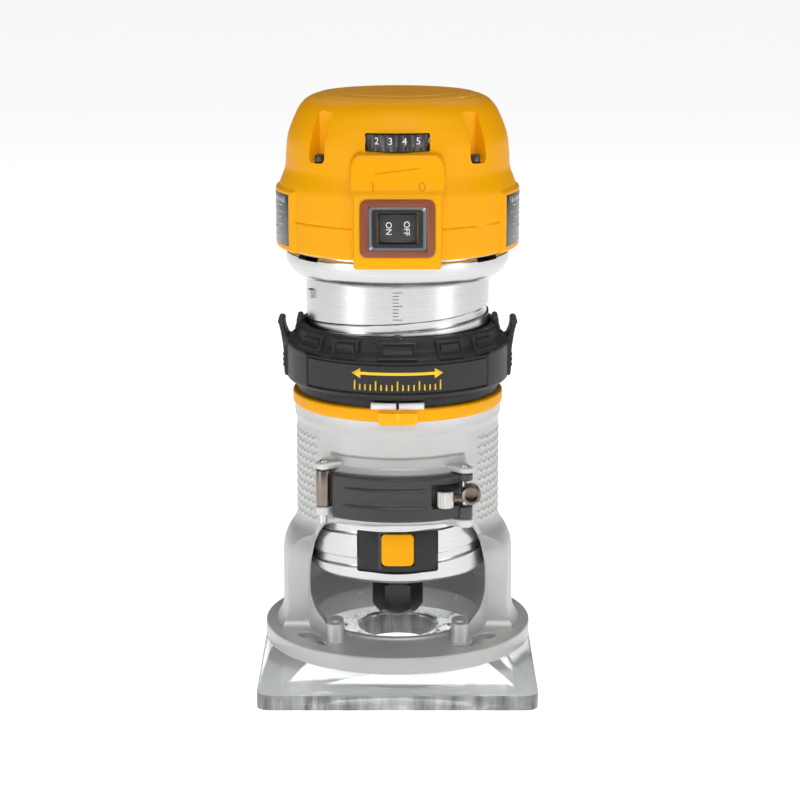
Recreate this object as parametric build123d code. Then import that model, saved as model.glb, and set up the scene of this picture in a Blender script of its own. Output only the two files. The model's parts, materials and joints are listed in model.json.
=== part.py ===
from build123d import *
import os
from math import sqrt

# Trim router with a fixed base. Millimetres, +Z up, -Y is the operator's side.
# The origin is the spindle axis where it meets the sole.

# ---- driving dimensions -------------------------------------------------------------
CAN_R = 34.5              # motor can, outside
CAN_WALL = 2.2
CAN_LOW = 36.0
CAN_TOP = 148.2
LEAD = 12.7               # depth thread: one turn of the ring lifts the motor half an inch
GROOVE_FRONT_Z = 133.1    # height of the thread groove's top turn at the front
GROOVE_HIGH = 3.4
GROOVE_DEEP = 1.0

SOLE_HALF = 51.3          # sub-base: half width, and radius of its round rear
SOLE_FRONT = 72.0         # straight front edge's distance from the spindle
SOLE_TOP = 6.2
GUIDE_HOLE_R = 15.1       # takes a round template guide bush
FOOT_R = 51.2
FOOT_TOP = 12.6
FOOT_OPEN_R = 28.3
SOLE_SCREW_R = 41.7       # radius of the four sub-base screws' circle
POST_X = 23.5             # accessory posts: offset, front end, length, width, top
POST_FRONT = 34.7
POST_LONG = 8.2
POST_WIDE = 6.2
POST_TOP = 20.0
POST_TAP_R = 1.65

LEG_R = 44.2              # lower shell round the window
LEG_BORE = 34.9
RIM_R = 36.2              # low rim between the legs and the posts
REAR_OPEN_R = 31.4        # the foot's opening is wider at the rear
SEAT_R = 21.0             # notched seat round the guide hole
SEAT_TOP = 8.6
SLEEVE_R = 38.4
SLEEVE_BORE = 34.6        # sliding fit on the can
SLEEVE_TOP = 101.4
COLLAR_R = 39.2
POCKET_LOW = 79.4
POCKET_TOP = 84.4
KEY_WIDE = 4.0

LEVER_IN = 38.75
LEVER_OUT = 42.2
LEVER_LOW = 61.8
LEVER_TOP = 78.7
PIVOT_X, PIVOT_Y = 25.0, -33.5
ANCHOR_X, ANCHOR_Y = -27.5, -31.0
PIVOT_PIN_R = 1.5

ZERO_LOW = 101.6
ZERO_TOP = 105.2
RING_LOW = 105.6
RING_TOP = 130.3
RING_R = 42.2
RING_BORE = 35.4
TAB_PIN_X = 39.8          # pivot of the quick-release tabs
TAB_PIN_Z = 121.5
TAB_PIN_R = 1.0
TAB_HALF = 5.6

FLANGE_R = 42.1
CAP_LOW = 159.6
CAP_R = 44.3
CAP_TOP = 216.6
CAP_WALL = 2.4
LABEL_R = 45.6
POD_HALF = 16.5           # switch pod at the front of the cap
POD_FRONT = 48.0
POD_LOW = 157.6
POD_TOP = 199.0
POD_SLOPE = 185.0         # the pod's front leans back above this height
POD_ANGLE = 22
SEAM_Z = 171.0            # moulded line round the cap
SWITCH_Z = 172.2
SCREW_AZIMUTHS = (45, 135, 225, 315)
SCOOP_HALF = 3.6          # half width of the four vent scoops

DIAL_R = 17.0
DIAL_Y = -24.6
DIAL_LOW = 198.7
DIAL_TOP = 204.6
INLET_Z = 168.0           # cord inlet at the rear

BUTTON_HALF = 6.05        # spindle-lock button
BUTTON_LOW = 42.9
BUTTON_TOP = 55.1
LOCK_Z = 49.0
LOCK_HOLE_R = 2.7         # cross hole through the spindle
COLLET_R = 3.175          # quarter-inch shank
NUT_FLATS = 17.0
NUT_LOW = 15.2
NUT_TOP = 27.7

LOW = (Align.CENTER, Align.CENTER, Align.MIN)


# ---- shapes used again and again ------------------------------------------------------
def disc(r, low, high, x=0, y=0):
    """Upright round bar between two heights."""
    return Pos(x, y, low) * Cylinder(r, high - low, align=LOW)


def tube(r_out, r_in, low, high, x=0, y=0):
    """Upright pipe between two heights."""
    return disc(r_out, low, high, x, y) - disc(r_in, low - 1, high + 1, x, y)


def block(x0, x1, y0, y1, z0, z1):
    """Box given by its two corners."""
    centre = ((x0 + x1) / 2, (y0 + y1) / 2, (z0 + z1) / 2)
    return Pos(*centre) * Box(x1 - x0, y1 - y0, z1 - z0)


def turned(*points):
    """Solid of revolution about the spindle axis from (radius, height) points."""
    return revolve(Plane.XZ * Polygon(*points, align=None), Axis.Z)


def sector(r_in, r_out, low, high, start, end):
    """Piece of a pipe between two angles, counted from +X towards +Y."""
    outline = Polygon((r_in, low), (r_out, low), (r_out, high), (r_in, high), align=None)
    return Rot(0, 0, start) * revolve(Plane.XZ * outline, Axis.Z, end - start)


def bar_y(r, x, z, y0, y1):
    """Round bar along Y between y0 and y1."""
    return Pos(x, (y0 + y1) / 2, z) * Rot(90, 0, 0) * Cylinder(r, y1 - y0)


def bar_x(r, y, z, x0, x1):
    """Round bar along X between x0 and x1."""
    return Pos((x0 + x1) / 2, y, z) * Rot(0, 90, 0) * Cylinder(r, x1 - x0)


def save(part, node):
    """Write one node; several solids stay a group of separate solids."""
    part.label = node
    export_step(part, os.path.join("parts", node + ".step"))


def group(*solids):
    """Identical pieces kept apart in one node."""
    return Compound(children=[s for solid in solids for s in solid.solids()])


# ---- base: sole, foot, legs and clamping sleeve ----------------------------------------
def sub_base():
    corner = 5.0
    plate = disc(SOLE_HALF, 0, SOLE_TOP)
    front = block(-SOLE_HALF, SOLE_HALF, -SOLE_FRONT, 0, 0, SOLE_TOP)
    front = fillet(front.edges().filter_by(Axis.Z).group_by(Axis.Y)[0], corner)
    plate = plate + front
    plate = chamfer(plate.faces().sort_by(Axis.Z)[-1].edges(), 0.6)
    seat = disc(SEAT_R, SOLE_TOP - 1, SEAT_TOP)
    for n in range(12):
        seat -= Rot(0, 0, 30 * n) * Pos(SEAT_R + 0.6, 0, SEAT_TOP) * Cylinder(2.2, 2 * (SEAT_TOP - SOLE_TOP))
    plate += seat
    plate -= disc(GUIDE_HOLE_R, -1, SEAT_TOP + 1)
    for azimuth in SCREW_AZIMUTHS:
        place = Rot(0, 0, azimuth) * Pos(SOLE_SCREW_R, 0, 0)
        plate -= place * Cylinder(2.1, 3 * SOLE_TOP)
        plate -= place * Cylinder(3.9, 2 * 3.4)
    return plate


def sub_base_screws():
    one = disc(1.95, 1.6, 10.8) + disc(3.8, 0.6, 3.3)
    one -= block(-2.6, 2.6, -0.45, 0.45, 0, 1.5)
    one -= block(-0.45, 0.45, -2.6, 2.6, 0, 1.5)
    return group(*[Rot(0, 0, a) * Pos(SOLE_SCREW_R, 0, 0) * one for a in SCREW_AZIMUTHS])


def foot():
    """Round foot with a raised lip round its opening."""
    return turned(
        (FOOT_OPEN_R, SOLE_TOP), (FOOT_R, SOLE_TOP), (FOOT_R, FOOT_TOP - 0.8),
        (FOOT_R - 0.8, FOOT_TOP), (31.0, FOOT_TOP), (30.4, FOOT_TOP + 0.8),
        (FOOT_OPEN_R, FOOT_TOP + 0.8),
    )


def post(side):
    """Accessory post: a stadium-shaped boss, tapped from above."""
    r = POST_WIDE / 2
    x = side * POST_X
    y_front = -POST_FRONT + r
    y_back = y_front + POST_LONG - POST_WIDE + 4
    body = disc(r, FOOT_TOP - 1, POST_TOP, x, y_front)
    body += disc(r, FOOT_TOP - 1, POST_TOP, x, y_back)
    body += block(x - r, x + r, y_front, y_back, FOOT_TOP - 1, POST_TOP)
    return body


def shell():
    """Lower shell, shoulder, sleeve and collar as one turned wall."""
    outside = [
        (48.0, FOOT_TOP - 1), (46.6, 13.6), (45.2, 15.4), (LEG_R, 18.5), (LEG_R, 43.0),
        (43.4, 46.6), (41.4, 49.9), (SLEEVE_R + 0.5, 52.0), (SLEEVE_R, 54.0),
        (SLEEVE_R, 94.0), (COLLAR_R, 95.0), (COLLAR_R, SLEEVE_TOP - 0.5), (COLLAR_R - 0.5, SLEEVE_TOP),
    ]
    inside = [
        (SLEEVE_BORE, SLEEVE_TOP), (SLEEVE_BORE, 53.5), (LEG_BORE, 52.0), (LEG_BORE, 23.0),
        (31.5, FOOT_TOP + 0.4), (31.5, FOOT_TOP - 1),
    ]
    return turned(*outside, *inside)


def window():
    """Front opening between the legs, cut straight back as far as the spindle."""
    upper = [(31.2, 53.0), (28.5, 57.6), (23.5, 59.8)]
    lower = [(24.5, 13.4), (27.5, 18.0), (33.0, 23.5), (34.6, 29.0), (34.6, 38.0)]
    right = lower + upper
    left = [(-x, z) for x, z in reversed(right)]
    outline = Plane.XZ * Polygon(*right, *left, align=None)
    return extrude(outline, 60)


def side_cut(*points):
    """Outline in (y, z) carried right across the base."""
    return extrude(Plane.YZ * Polygon(*points, align=None), 60, both=True)


def leg_relief():
    """Space in front of the legs: down to the foot outside, down to a sloping rim inside."""
    roof = [(-14.0, 38.0), (-16.0, 45.0), (-21.0, 50.5), (-28.0, 54.5), (-36.0, 56.8), (-60.0, 57.5)]
    rim = [(-60.0, 13.4), (-30.0, 13.4), (-21.0, 16.5), (-16.5, 20.5), (-14.5, 26.0)]
    floor = [(-60.0, FOOT_TOP), (-14.5, FOOT_TOP)]
    return [side_cut(*rim, *roof), side_cut(*floor, *roof) - disc(RIM_R, 0, 60)]


def clamp_lugs():
    """Ears on the sleeve that hold the lever's pin and the strap's anchor pin."""
    ears = []
    for x, y, low, high in (
        (PIVOT_X, PIVOT_Y, 58.3, LEVER_LOW - 0.35), (PIVOT_X, PIVOT_Y, LEVER_TOP + 0.35, 81.2),
        (ANCHOR_X, ANCHOR_Y, 62.4, 65.6), (ANCHOR_X, ANCHOR_Y, 79.9, 82.4),
    ):
        ear = disc(3.0, low, high, x, y)
        inward = 36.5 / sqrt(x * x + y * y)
        ear += disc(3.4, low, high, x * inward, y * inward)
        ears.append(ear)
    return ears


def base_housing():
    wall = shell() - window()
    for cut in leg_relief():
        wall -= cut
    body = foot() + wall
    body -= disc(REAR_OPEN_R, SOLE_TOP - 1, FOOT_TOP + 2) & block(-60, 60, -10, 60, 0, 20)
    body += post(1)
    body += post(-1)
    for ear in clamp_lugs():
        body += ear
    body -= disc(SLEEVE_BORE, 53.5, SLEEVE_TOP + 1)
    # relief slot and split: the two jaws under the lever close on the can
    body -= block(-25, 25, -42, -36.4, POCKET_LOW, POCKET_TOP)
    body -= block(-24, 24, -42, -30, POCKET_LOW + 0.3, POCKET_LOW + 1.5)
    body -= block(-0.8, 0.8, -42, -30, 55, POCKET_LOW + 1)
    # key slot at the rear of the bore
    body -= block(-KEY_WIDE / 2, KEY_WIDE / 2, 33, 36.5, 62, 94)
    for x, y, r in ((PIVOT_X, PIVOT_Y, PIVOT_PIN_R), (ANCHOR_X, ANCHOR_Y, PIVOT_PIN_R)):
        body -= disc(r + 0.02, 58.9, 90, x, y)
    for side in (-1, 1):
        y_front = -POST_FRONT + POST_WIDE / 2
        body -= disc(POST_TAP_R, POST_TOP - 9.0, POST_TOP + 1, side * POST_X, y_front)
    for azimuth in SCREW_AZIMUTHS:
        body -= sector(38.7, 45.2, FOOT_TOP - 3.0, FOOT_TOP + 0.1, azimuth - 10, azimuth + 13)
        body -= Rot(0, 0, azimuth) * Pos(SOLE_SCREW_R, 0, 0) * Cylinder(2.0, 30)
    return body


def guide_key():
    return block(-KEY_WIDE / 2 + 0.05, KEY_WIDE / 2 - 0.05, 33.7, 36.4, 62.1, 93.9)


# ---- cam clamp -------------------------------------------------------------------------
def clamp_strap():
    """Steel strap that loops round the anchor pin and lies on the sleeve."""
    loop = tube(2.9, PIVOT_PIN_R + 0.03, 66.0, 79.5, ANCHOR_X, ANCHOR_Y)
    band = sector(SLEEVE_R + 0.15, SLEEVE_R + 1.35, 66.0, 79.5, 221.0, 232.6)
    strap = loop + band
    return strap - disc(SLEEVE_R + 0.1, 60, 85) - disc(PIVOT_PIN_R + 0.03, 60, 85, ANCHOR_X, ANCHOR_Y)


def clamp_pin(x, y, low, high):
    return chamfer(disc(PIVOT_PIN_R, low, high, x, y).edges(), 0.3)


def clamp_lever():
    """Curved lever plate with a two-part knuckle on the right-hand pin."""
    plate = sector(LEVER_IN, LEVER_OUT, LEVER_LOW, LEVER_TOP, 234.3, 305.0)
    for groove_z in (67.5, 74.2):
        plate -= sector(LEVER_OUT - 0.8, LEVER_OUT + 1, groove_z - 0.7, groove_z + 0.7, 241, 284)
    plate -= block(13.2, 30, -50, -20, 66.4, 76.2)
    knuckle = disc(2.9, LEVER_LOW, LEVER_TOP, PIVOT_X, PIVOT_Y)
    knuckle -= block(18, 34, -42, -28, 66.4, 76.2)
    lever = plate + knuckle
    return lever - disc(PIVOT_PIN_R + 0.05, 50, 90, PIVOT_X, PIVOT_Y)


def clamp_roller():
    """Barrel that the tension screw passes through, set in the lever's window."""
    return bar_x(2.9, -39.5, 70.4, 14.0, 20.6)


def clamp_nut():
    """Tension nut between the knuckles, its socket facing the operator."""
    body = bar_y(3.5, 27.2, 72.0, -41.0, -35.4)
    body -= bar_y(2.3, 27.2, 72.0, -42.0, -37.4)
    body += bar_x(1.5, -39.0, 70.6, 20.6, 24.4)
    return body


# ---- depth ring, zero ring and quick-release tabs ---------------------------------------
def zero_ring():
    ring = tube(39.9, RING_BORE, ZERO_LOW, ZERO_TOP)
    tongue = sector(COLLAR_R + 0.3, 41.0, 98.9, 103.5, 260.3, 279.7)
    return ring + tongue


def index_pads():
    left = sector(38.2, 40.2, ZERO_TOP, 107.2, 256.0, 269.4)
    right = sector(38.2, 40.2, ZERO_TOP, 107.2, 270.6, 284.4)
    return group(left, right)


def tooth_z(side):
    """Height of the thread groove at the right (side 1) or left (side -1)."""
    angle = 90 if side == 1 else -90
    z = GROOVE_FRONT_Z + LEAD * angle / 360
    return z - 2 * LEAD if side == 1 else z - LEAD


def depth_ring():
    body = turned(
        (RING_BORE, RING_LOW), (37.8, RING_LOW), (37.8, 107.4), (39.6, 107.5), (RING_R, 109.6),
        (RING_R, 122.6), (41.4, 123.8), (39.2, 125.0), (38.0, RING_TOP - 0.5), (37.5, RING_TOP),
        (RING_BORE, RING_TOP),
    )
    body += sector(41.0, 43.0, 109.4, 122.4, 216, 324)
    for start, end in ((252, 288), (201, 222), (318, 339), (72, 108), (21, 42), (138, 159)):
        body += sector(37.6, 40.8, 123.0, 129.2, start, end)
    for side in (-1, 1):
        x0, x1 = sorted((side * 37.2, side * 50))
        body -= block(x0, x1, -6.2, 6.2, 109.0, 140)
        z = tooth_z(side)
        t0, t1 = sorted((side * 33, side * 38))
        body -= block(t0, t1, -2.8, 2.8, z - 1.9, z + 1.9)
        a0, a1 = (-9, 9) if side == 1 else (171, 189)
        body += sector(35.7, 37.1, RING_TOP - 1, 132.4, a0, a1)
        body -= bar_y(TAB_PIN_R + 0.02, side * TAB_PIN_X, TAB_PIN_Z, -8.2, 8.2)
    return body


def tab_pins():
    return group(*[bar_y(TAB_PIN_R, side * TAB_PIN_X, TAB_PIN_Z, -8.0, 8.0) for side in (-1, 1)])


def tab_springs():
    """Torsion springs: three turns of wire round each tab's pin."""
    turns = []
    for side in (-1, 1):
        for y in (-1.1, 0.0, 1.1):
            ring = Pos(side * TAB_PIN_X, y, TAB_PIN_Z) * Rot(90, 0, 0) * Torus(1.65, 0.4)
            turns.append(ring)
    return group(*turns)


def release_tab(side):
    """Squeezed inwards at the top, its thread tooth swings out of the can's groove."""
    outline = Polygon(
        (37.6, 109.4), (42.6, 109.4), (43.2, 112.0), (43.2, 120.0), (45.4, 130.4), (45.0, 131.6),
        (43.9, 131.7), (41.4, 124.6), (37.9, 124.6), align=None,
    )
    tab = extrude(Plane.XZ * outline, TAB_HALF, both=True)
    z = tooth_z(1 if side == 1 else -1)
    tab += block(33.9, 38.0, -2.0, 2.0, z - 1.1, z + 1.1)
    tab -= bar_y(TAB_PIN_R + 0.06, TAB_PIN_X, TAB_PIN_Z, -10, 10)
    tab -= bar_y(2.4, TAB_PIN_X, TAB_PIN_Z, -1.8, 1.8)
    if side == -1:
        tab = Rot(0, 0, 180) * tab
    return tab


# ---- motor can and its end pieces ---------------------------------------------------------
def thread_groove():
    """Right-handed helical groove from the nose up to just past the top turn."""
    turns = 7.53
    low = GROOVE_FRONT_Z - LEAD / 4 - 7 * LEAD
    helix = Helix(LEAD, turns * LEAD, CAN_R + 0.2)
    start = Plane(origin=helix @ 0, x_dir=(1, 0, 0), z_dir=helix % 0)
    section = start * Rectangle(2 * (GROOVE_DEEP + 0.2), GROOVE_HIGH)
    groove = sweep(section, path=helix, is_frenet=True)
    return Pos(0, 0, low) * Rot(0, 0, 180) * groove


def motor_can():
    can = turned(
        (33.3, CAN_LOW), (CAN_R, CAN_LOW + 2), (CAN_R, CAN_TOP),
        (CAN_R - CAN_WALL, CAN_TOP), (CAN_R - CAN_WALL, CAN_LOW),
    )
    can -= thread_groove()
    can -= block(-15.2, 15.2, -40, -20, 40.2, 55.9)
    can -= block(-KEY_WIDE / 2 - 0.1, KEY_WIDE / 2 + 0.1, 33.4, 40, CAN_LOW - 1, 104)
    can += sector(CAN_R - 0.5, 35.8, 141.0, 144.2, 199.0, 205.0)
    return can


def nose_plate():
    """Plastic plate that closes the can's nose round the spindle."""
    plate = tube(32.2, 12.5, 36.4, 39.6)
    for azimuth in range(0, 360, 30):
        plate -= Rot(0, 0, azimuth + 15) * block(15, 29, -2, 2, 30, 45)
    return plate


def bearing_plate():
    plate = tube(32.2, 24.0, 58.0, 66.0)
    plate += tube(19.0, 16.02, 57.0, 66.4)
    for azimuth in range(0, 360, 60):
        plate += Rot(0, 0, azimuth) * block(18.0, 25.0, -2.5, 2.5, 58.0, 64.0)
    return plate


def ball_bearing(r_out, r_in, low, high):
    """Inner and outer race with a ring of balls."""
    mid = (r_out + r_in) / 2
    height = (low + high) / 2
    ball_r = (r_out - r_in) * 0.27
    race = (r_out - r_in) * 0.3
    rings = tube(r_out, r_out - race, low, high)
    rings += tube(r_in + race, r_in, low, high)
    groove = Pos(0, 0, height) * Torus(mid, ball_r + 0.05)
    rings -= groove
    balls = []
    for azimuth in range(0, 360, 45):
        balls.append(Rot(0, 0, azimuth) * Pos(mid, 0, height) * Sphere(ball_r))
    return group(rings, *balls)


def end_flange():
    """Cast bowl between the can and the cap, with four air outlets in its rim."""
    body = turned(
        (32.4, CAN_TOP), (35.6, CAN_TOP), (38.4, 149.4), (40.6, 151.4), (FLANGE_R, 154.2),
        (FLANGE_R, 157.6), (41.4, 158.4), (41.4, CAP_LOW), (39.0, CAP_LOW), (39.0, 155.0),
        (37.4, 152.6), (35.6, 151.4), (32.4, 151.0),
    )
    for azimuth in (52, 128, 218, 307):
        body -= sector(36, 50, 157.0, 158.6, azimuth - 9, azimuth + 9)
    return body


def stator_core():
    """Laminated ring with two pole shoes."""
    core = tube(32.2, 26.5, 84, 128)
    for start in (-40, 140):
        core += sector(17.3, 21.0, 84, 128, start, start + 80)
        core += sector(20.5, 27.0, 84, 128, start + 22, start + 58)
    return core


def field_windings():
    coils = []
    for start in (-40, 140):
        outer = sector(21.2, 26.3, 79, 133, start - 6, start + 86)
        coils.append(outer - sector(19, 28, 83.9, 128.1, start + 21.5, start + 58.5))
    return group(*coils)


def brush_holders():
    holders = []
    for side in (-1, 1):
        holder = block(12.0, 31.6, -4.6, 4.6, 150.6, 159.4)
        holder -= block(11, 30.6, -3.15, 3.15, 152.2, 157.8)
        holders.append(Rot(0, 0, 0 if side == 1 else 180) * holder)
    return group(*holders)


def carbon_brushes():
    brush = block(9.8, 20.0, -3.0, 3.0, 152.35, 157.65)
    return group(brush, Rot(0, 0, 180) * brush)


def brush_springs():
    turns = []
    for azimuth in (0, 180):
        for step in range(6):
            wire = Pos(21.0 + 1.8 * step, 0, 155.0) * Rot(0, 90, 0) * Torus(2.1, 0.35)
            turns.append(Rot(0, 0, azimuth) * wire)
    return group(*turns)


def bearing_bridge():
    """Carries the upper bearing and the brush holders across the cap."""
    bridge = tube(14.0, 11.02, 165.0, 174.0)
    bridge += block(-36.0, -13.0, -6, 6, 160.2, 163.6)
    bridge += block(13.0, 36.0, -6, 6, 160.2, 163.6)
    bridge += block(-36.0, -11.4, -3, 3, 163.0, 168.0)
    bridge += block(11.4, 36.0, -3, 3, 163.0, 168.0)
    return bridge - disc(11.02, 150, 180)


# ---- spindle lock --------------------------------------------------------------------------
def lock_plate():
    plate = sector(30.6, 33.7, 40.4, 55.7, 230, 310) & block(-15.0, 15.0, -40, -10, 40.4, 55.7)
    plate -= block(-BUTTON_HALF - 0.2, BUTTON_HALF + 0.2, -40, -20, BUTTON_LOW - 0.2, BUTTON_TOP + 0.2)
    return plate


def lock_button():
    """Thumb button with its plunger; pushed in, the plunger enters the spindle's cross hole."""
    head = block(-BUTTON_HALF, BUTTON_HALF, -36, -27.0, BUTTON_LOW, BUTTON_TOP)
    head = fillet(head.edges().filter_by(Axis.Y), 1.8)
    head = head & disc(34.35, BUTTON_LOW - 1, BUTTON_TOP + 1)
    return head + bar_y(2.4, 0, LOCK_Z, -27.5, -11.5)


def lock_guide():
    """Bracket behind the lock plate that guides the plunger."""
    bracket = block(-7, 7, -17.5, -14.5, 41.0, 56.6)
    for side in (-1, 1):
        x0, x1 = sorted((side * 7, side * 9.5))
        bracket += block(x0, x1, -28.4, -14.5, 41.0, 56.6)
    return bracket - bar_y(2.46, 0, LOCK_Z, -20, -10)


def lock_spring():
    turns = [Pos(0, -25.8 + 1.55 * n, LOCK_Z) * Rot(90, 0, 0) * Torus(3.3, 0.4) for n in range(6)]
    return group(*turns)


# ---- rotor, collet and nut --------------------------------------------------------------------
def spindle():
    shaft = turned(
        (0, 48.0), (3.4, 48.0), (3.4, 30.0), (4.5, 29.4), (5.5, 19.0), (6.35, 19.0), (6.35, 30.0),
        (7.5, 30.6), (7.5, 44.0), (9.0, 44.4), (9.0, 54.0), (7.5, 54.4), (7.45, 66.6),
        (6.0, 67.0), (5.0, 84.0), (5.0, 164.0), (3.95, 164.6), (3.95, 175.0), (0, 175.0),
    )
    return shaft - bar_y(LOCK_HOLE_R, 0, LOCK_Z, -12, 12)


def cooling_fan():
    fan = tube(29.0, 26.6, 76.6, 78.0) + tube(9.0, 6.02, 69.0, 78.0)
    fan += tube(27.0, 8.5, 69.0, 70.4)
    for azimuth in range(0, 360, 30):
        blade = block(12.0, 28.6, -0.6, 0.6, 69.5, 77.5)
        fan += Rot(0, 0, azimuth) * blade
    return fan


def armature_core():
    core = tube(16.7, 5.02, 84, 128)
    for n in range(12):
        core -= Rot(0, 0, 30 * n) * block(9.5, 16.0, -1.7, 1.7, 80, 130)
        core -= Rot(0, 0, 30 * n) * block(15.5, 18.0, -0.7, 0.7, 80, 130)
    return core


def armature_windings():
    ends = tube(15.4, 6.0, 80.4, 83.9) + tube(15.4, 6.0, 128.1, 134.0)
    for n in range(12):
        ends += Rot(0, 0, 30 * n) * block(9.8, 15.2, -1.5, 1.5, 83, 129)
    return ends


def commutator():
    body = tube(9.6, 5.02, 147.0, 161.5) + tube(10.8, 5.02, 144.6, 147.0)
    for n in range(24):
        body -= Rot(0, 0, 15 * n) * block(8.6, 11.5, -0.2, 0.2, 144, 162)
    return body


def collet():
    body = turned(
        (COLLET_R, 14.8), (4.2, 14.8), (4.3, 17.5), (5.3, 17.6), (5.3, 18.8), (5.2, 19.0),
        (4.3, 28.6), (COLLET_R, 28.6),
    )
    for azimuth in (0, 90):
        body -= Rot(0, 0, azimuth) * block(-8, 8, -0.25, 0.25, 14, 25)
    return body


def collet_nut():
    hexagon = RegularPolygon(NUT_FLATS / 2, 6, major_radius=False)
    body = Pos(0, 0, NUT_LOW) * extrude(hexagon, NUT_TOP - NUT_LOW)
    corner_r = NUT_FLATS / sqrt(3)
    rounding = turned(
        (0, NUT_LOW), (7.6, NUT_LOW), (corner_r, NUT_LOW + 2.6), (corner_r, NUT_TOP - 0.8),
        (8.9, NUT_TOP), (0, NUT_TOP),
    )
    body = body & rounding
    body -= disc(6.4, 17.45, 40)
    return body - disc(4.4, 10, 20)


# ---- cap, switch and speed dial -----------------------------------------------------------------
def cap_outline(inset):
    """The turned cap's outline, set in by a wall's thickness."""
    return [
        (0, CAP_LOW), (CAP_R - inset, CAP_LOW), (CAP_R - inset, 182.0), (43.2 - inset, 184.6),
        (41.9 - inset, 188.0), (41.7 - inset, 193.0), (41.0 - inset, 200.2),
        (39.3 - inset, 204.9), (36.6 - inset, 211.0 - 0.3 * inset), (34.3 - inset, 213.6 - 0.6 * inset),
        (29.0 - inset, CAP_TOP - 0.9 - inset), (26.0 - inset, CAP_TOP - inset), (0, CAP_TOP - inset),
    ]


def pod(inset):
    """Block at the front that holds the switch."""
    half = POD_HALF - inset
    body = block(-half, half, -POD_FRONT + inset, -20, POD_LOW, POD_TOP - inset)
    body = fillet(body.edges().filter_by(Axis.Z).group_by(Axis.Y)[0], 3.2)
    slope = block(-CAP_R, CAP_R, -60, 0, -30, 30)
    return body - Pos(0, -POD_FRONT + inset, POD_SLOPE - inset) * Rot(-POD_ANGLE, 0, 0) * slope


def motor_cap():
    outside = turned(*cap_outline(0))
    for start in (-32, 148):
        outside += sector(40, LABEL_R, CAP_LOW, 182.0, start, start + 64)
    outside += pod(0)
    inside = turned(*cap_outline(CAP_WALL)) + disc(CAP_R - CAP_WALL, CAP_LOW - 5, CAP_LOW + 2)
    inside += pod(CAP_WALL) & block(-40, 40, -60, 0, CAP_LOW - 5, 198)
    for azimuth in SCREW_AZIMUTHS:
        boss = disc(SCOOP_HALF + 1.8, CAP_LOW + 0.2, 212, 37.6, 0)
        inside -= Rot(0, 0, azimuth) * boss
    cap = outside - inside
    for azimuth in SCREW_AZIMUTHS:
        place = Rot(0, 0, azimuth)
        cap -= place * block(36.2, 50, -SCOOP_HALF, SCOOP_HALF, 193.6, 211.5)
        cap -= place * disc(1.5, CAP_LOW - 1, 195, 38.8, 0)
    for start in (-29, 151):
        cap -= sector(LABEL_R - 0.5, LABEL_R + 1, 161.4, 180.7, start, start + 58)
    cap -= block(-13.4, 13.4, -60, -POD_FRONT + 1.2, SWITCH_Z - 10.4, SWITCH_Z + 10.4)
    cap -= block(-11.0, 11.0, -60, -40, SWITCH_Z - 8.4, SWITCH_Z + 8.4)
    cap -= block(-11.9, 11.9, -60, -30, 198.4, 205.4)
    cap -= disc(DIAL_R + 0.4, DIAL_LOW - 0.3, DIAL_TOP + 0.4, 0, DIAL_Y)
    cap -= disc(FLANGE_R + 0.2, 150, CAP_LOW)
    cap -= bar_y(6.05, 0, INLET_Z, 35, 60)
    cap -= tube(30.2, 29.4, CAP_TOP - 1.6, CAP_TOP + 1) + tube(25.6, 24.9, CAP_TOP - 0.5, CAP_TOP + 1)
    seam = tube(LABEL_R + 2, CAP_R - 0.35, SEAM_Z - 0.3, SEAM_Z + 0.3) & block(-32, 32, -60, 60, 150, 200)
    return cap - (seam - block(-18, 18, -60, 0, 150, 200))


def cap_screws():
    one = disc(1.45, 176, 194, 38.8, 0) + disc(2.4, 193.65, 196.0, 38.8, 0)
    one -= Pos(38.8, 0, 195.6) * Box(3.2, 0.7, 1.6)
    one -= Pos(38.8, 0, 195.6) * Box(0.7, 3.2, 1.6)
    return group(*[Rot(0, 0, a) * one for a in SCREW_AZIMUTHS])


def label_plates():
    plate = sector(LABEL_R - 0.48, LABEL_R, 161.5, 180.6, -28.9, 28.9)
    return group(plate, Rot(0, 0, 180) * plate)


def switch_boot():
    """Translucent rubber frame round the switch."""
    body = block(-13.3, 13.3, -48.6, -46.85, SWITCH_Z - 10.3, SWITCH_Z + 10.3)
    body = fillet(body.edges().filter_by(Axis.Y), 2.2)
    body += block(-10.9, 10.9, -47.5, -44.6, SWITCH_Z - 8.3, SWITCH_Z + 8.3)
    return body - block(-10.4, 10.4, -60, -40, SWITCH_Z - 7.9, SWITCH_Z + 7.9)


def switch_body():
    body = block(-10.3, 10.3, -48.4, -30.0, SWITCH_Z - 7.8, SWITCH_Z + 7.8)
    body -= block(-7.3, 7.3, -60, -41.0, SWITCH_Z - 5.5, SWITCH_Z + 5.5)
    for x in (-6, 0, 6):
        body += block(x - 0.4, x + 0.4, -30.5, -25.0, SWITCH_Z - 3, SWITCH_Z + 3)
    return body - disc(1.05, SWITCH_Z - 7.0, SWITCH_Z + 7.0, 0, -44.0)


def rocker_pin():
    return disc(1.0, SWITCH_Z - 6.8, SWITCH_Z + 6.8, 0, -44.0)


def rocker():
    """Rocks left and right about an upright pin; its face is two shallow slopes."""
    outline = Polygon(
        (-6.8, -47.0), (0, -48.0), (6.8, -47.0), (6.6, -44.4), (2.4, -42.2), (-2.4, -42.2),
        (-6.6, -44.4), align=None,
    )
    body = Pos(0, 0, SWITCH_Z - 5.1) * extrude(outline, 10.2)
    return body - disc(1.06, SWITCH_Z - 9, SWITCH_Z + 9, 0, -44.0)


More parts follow.
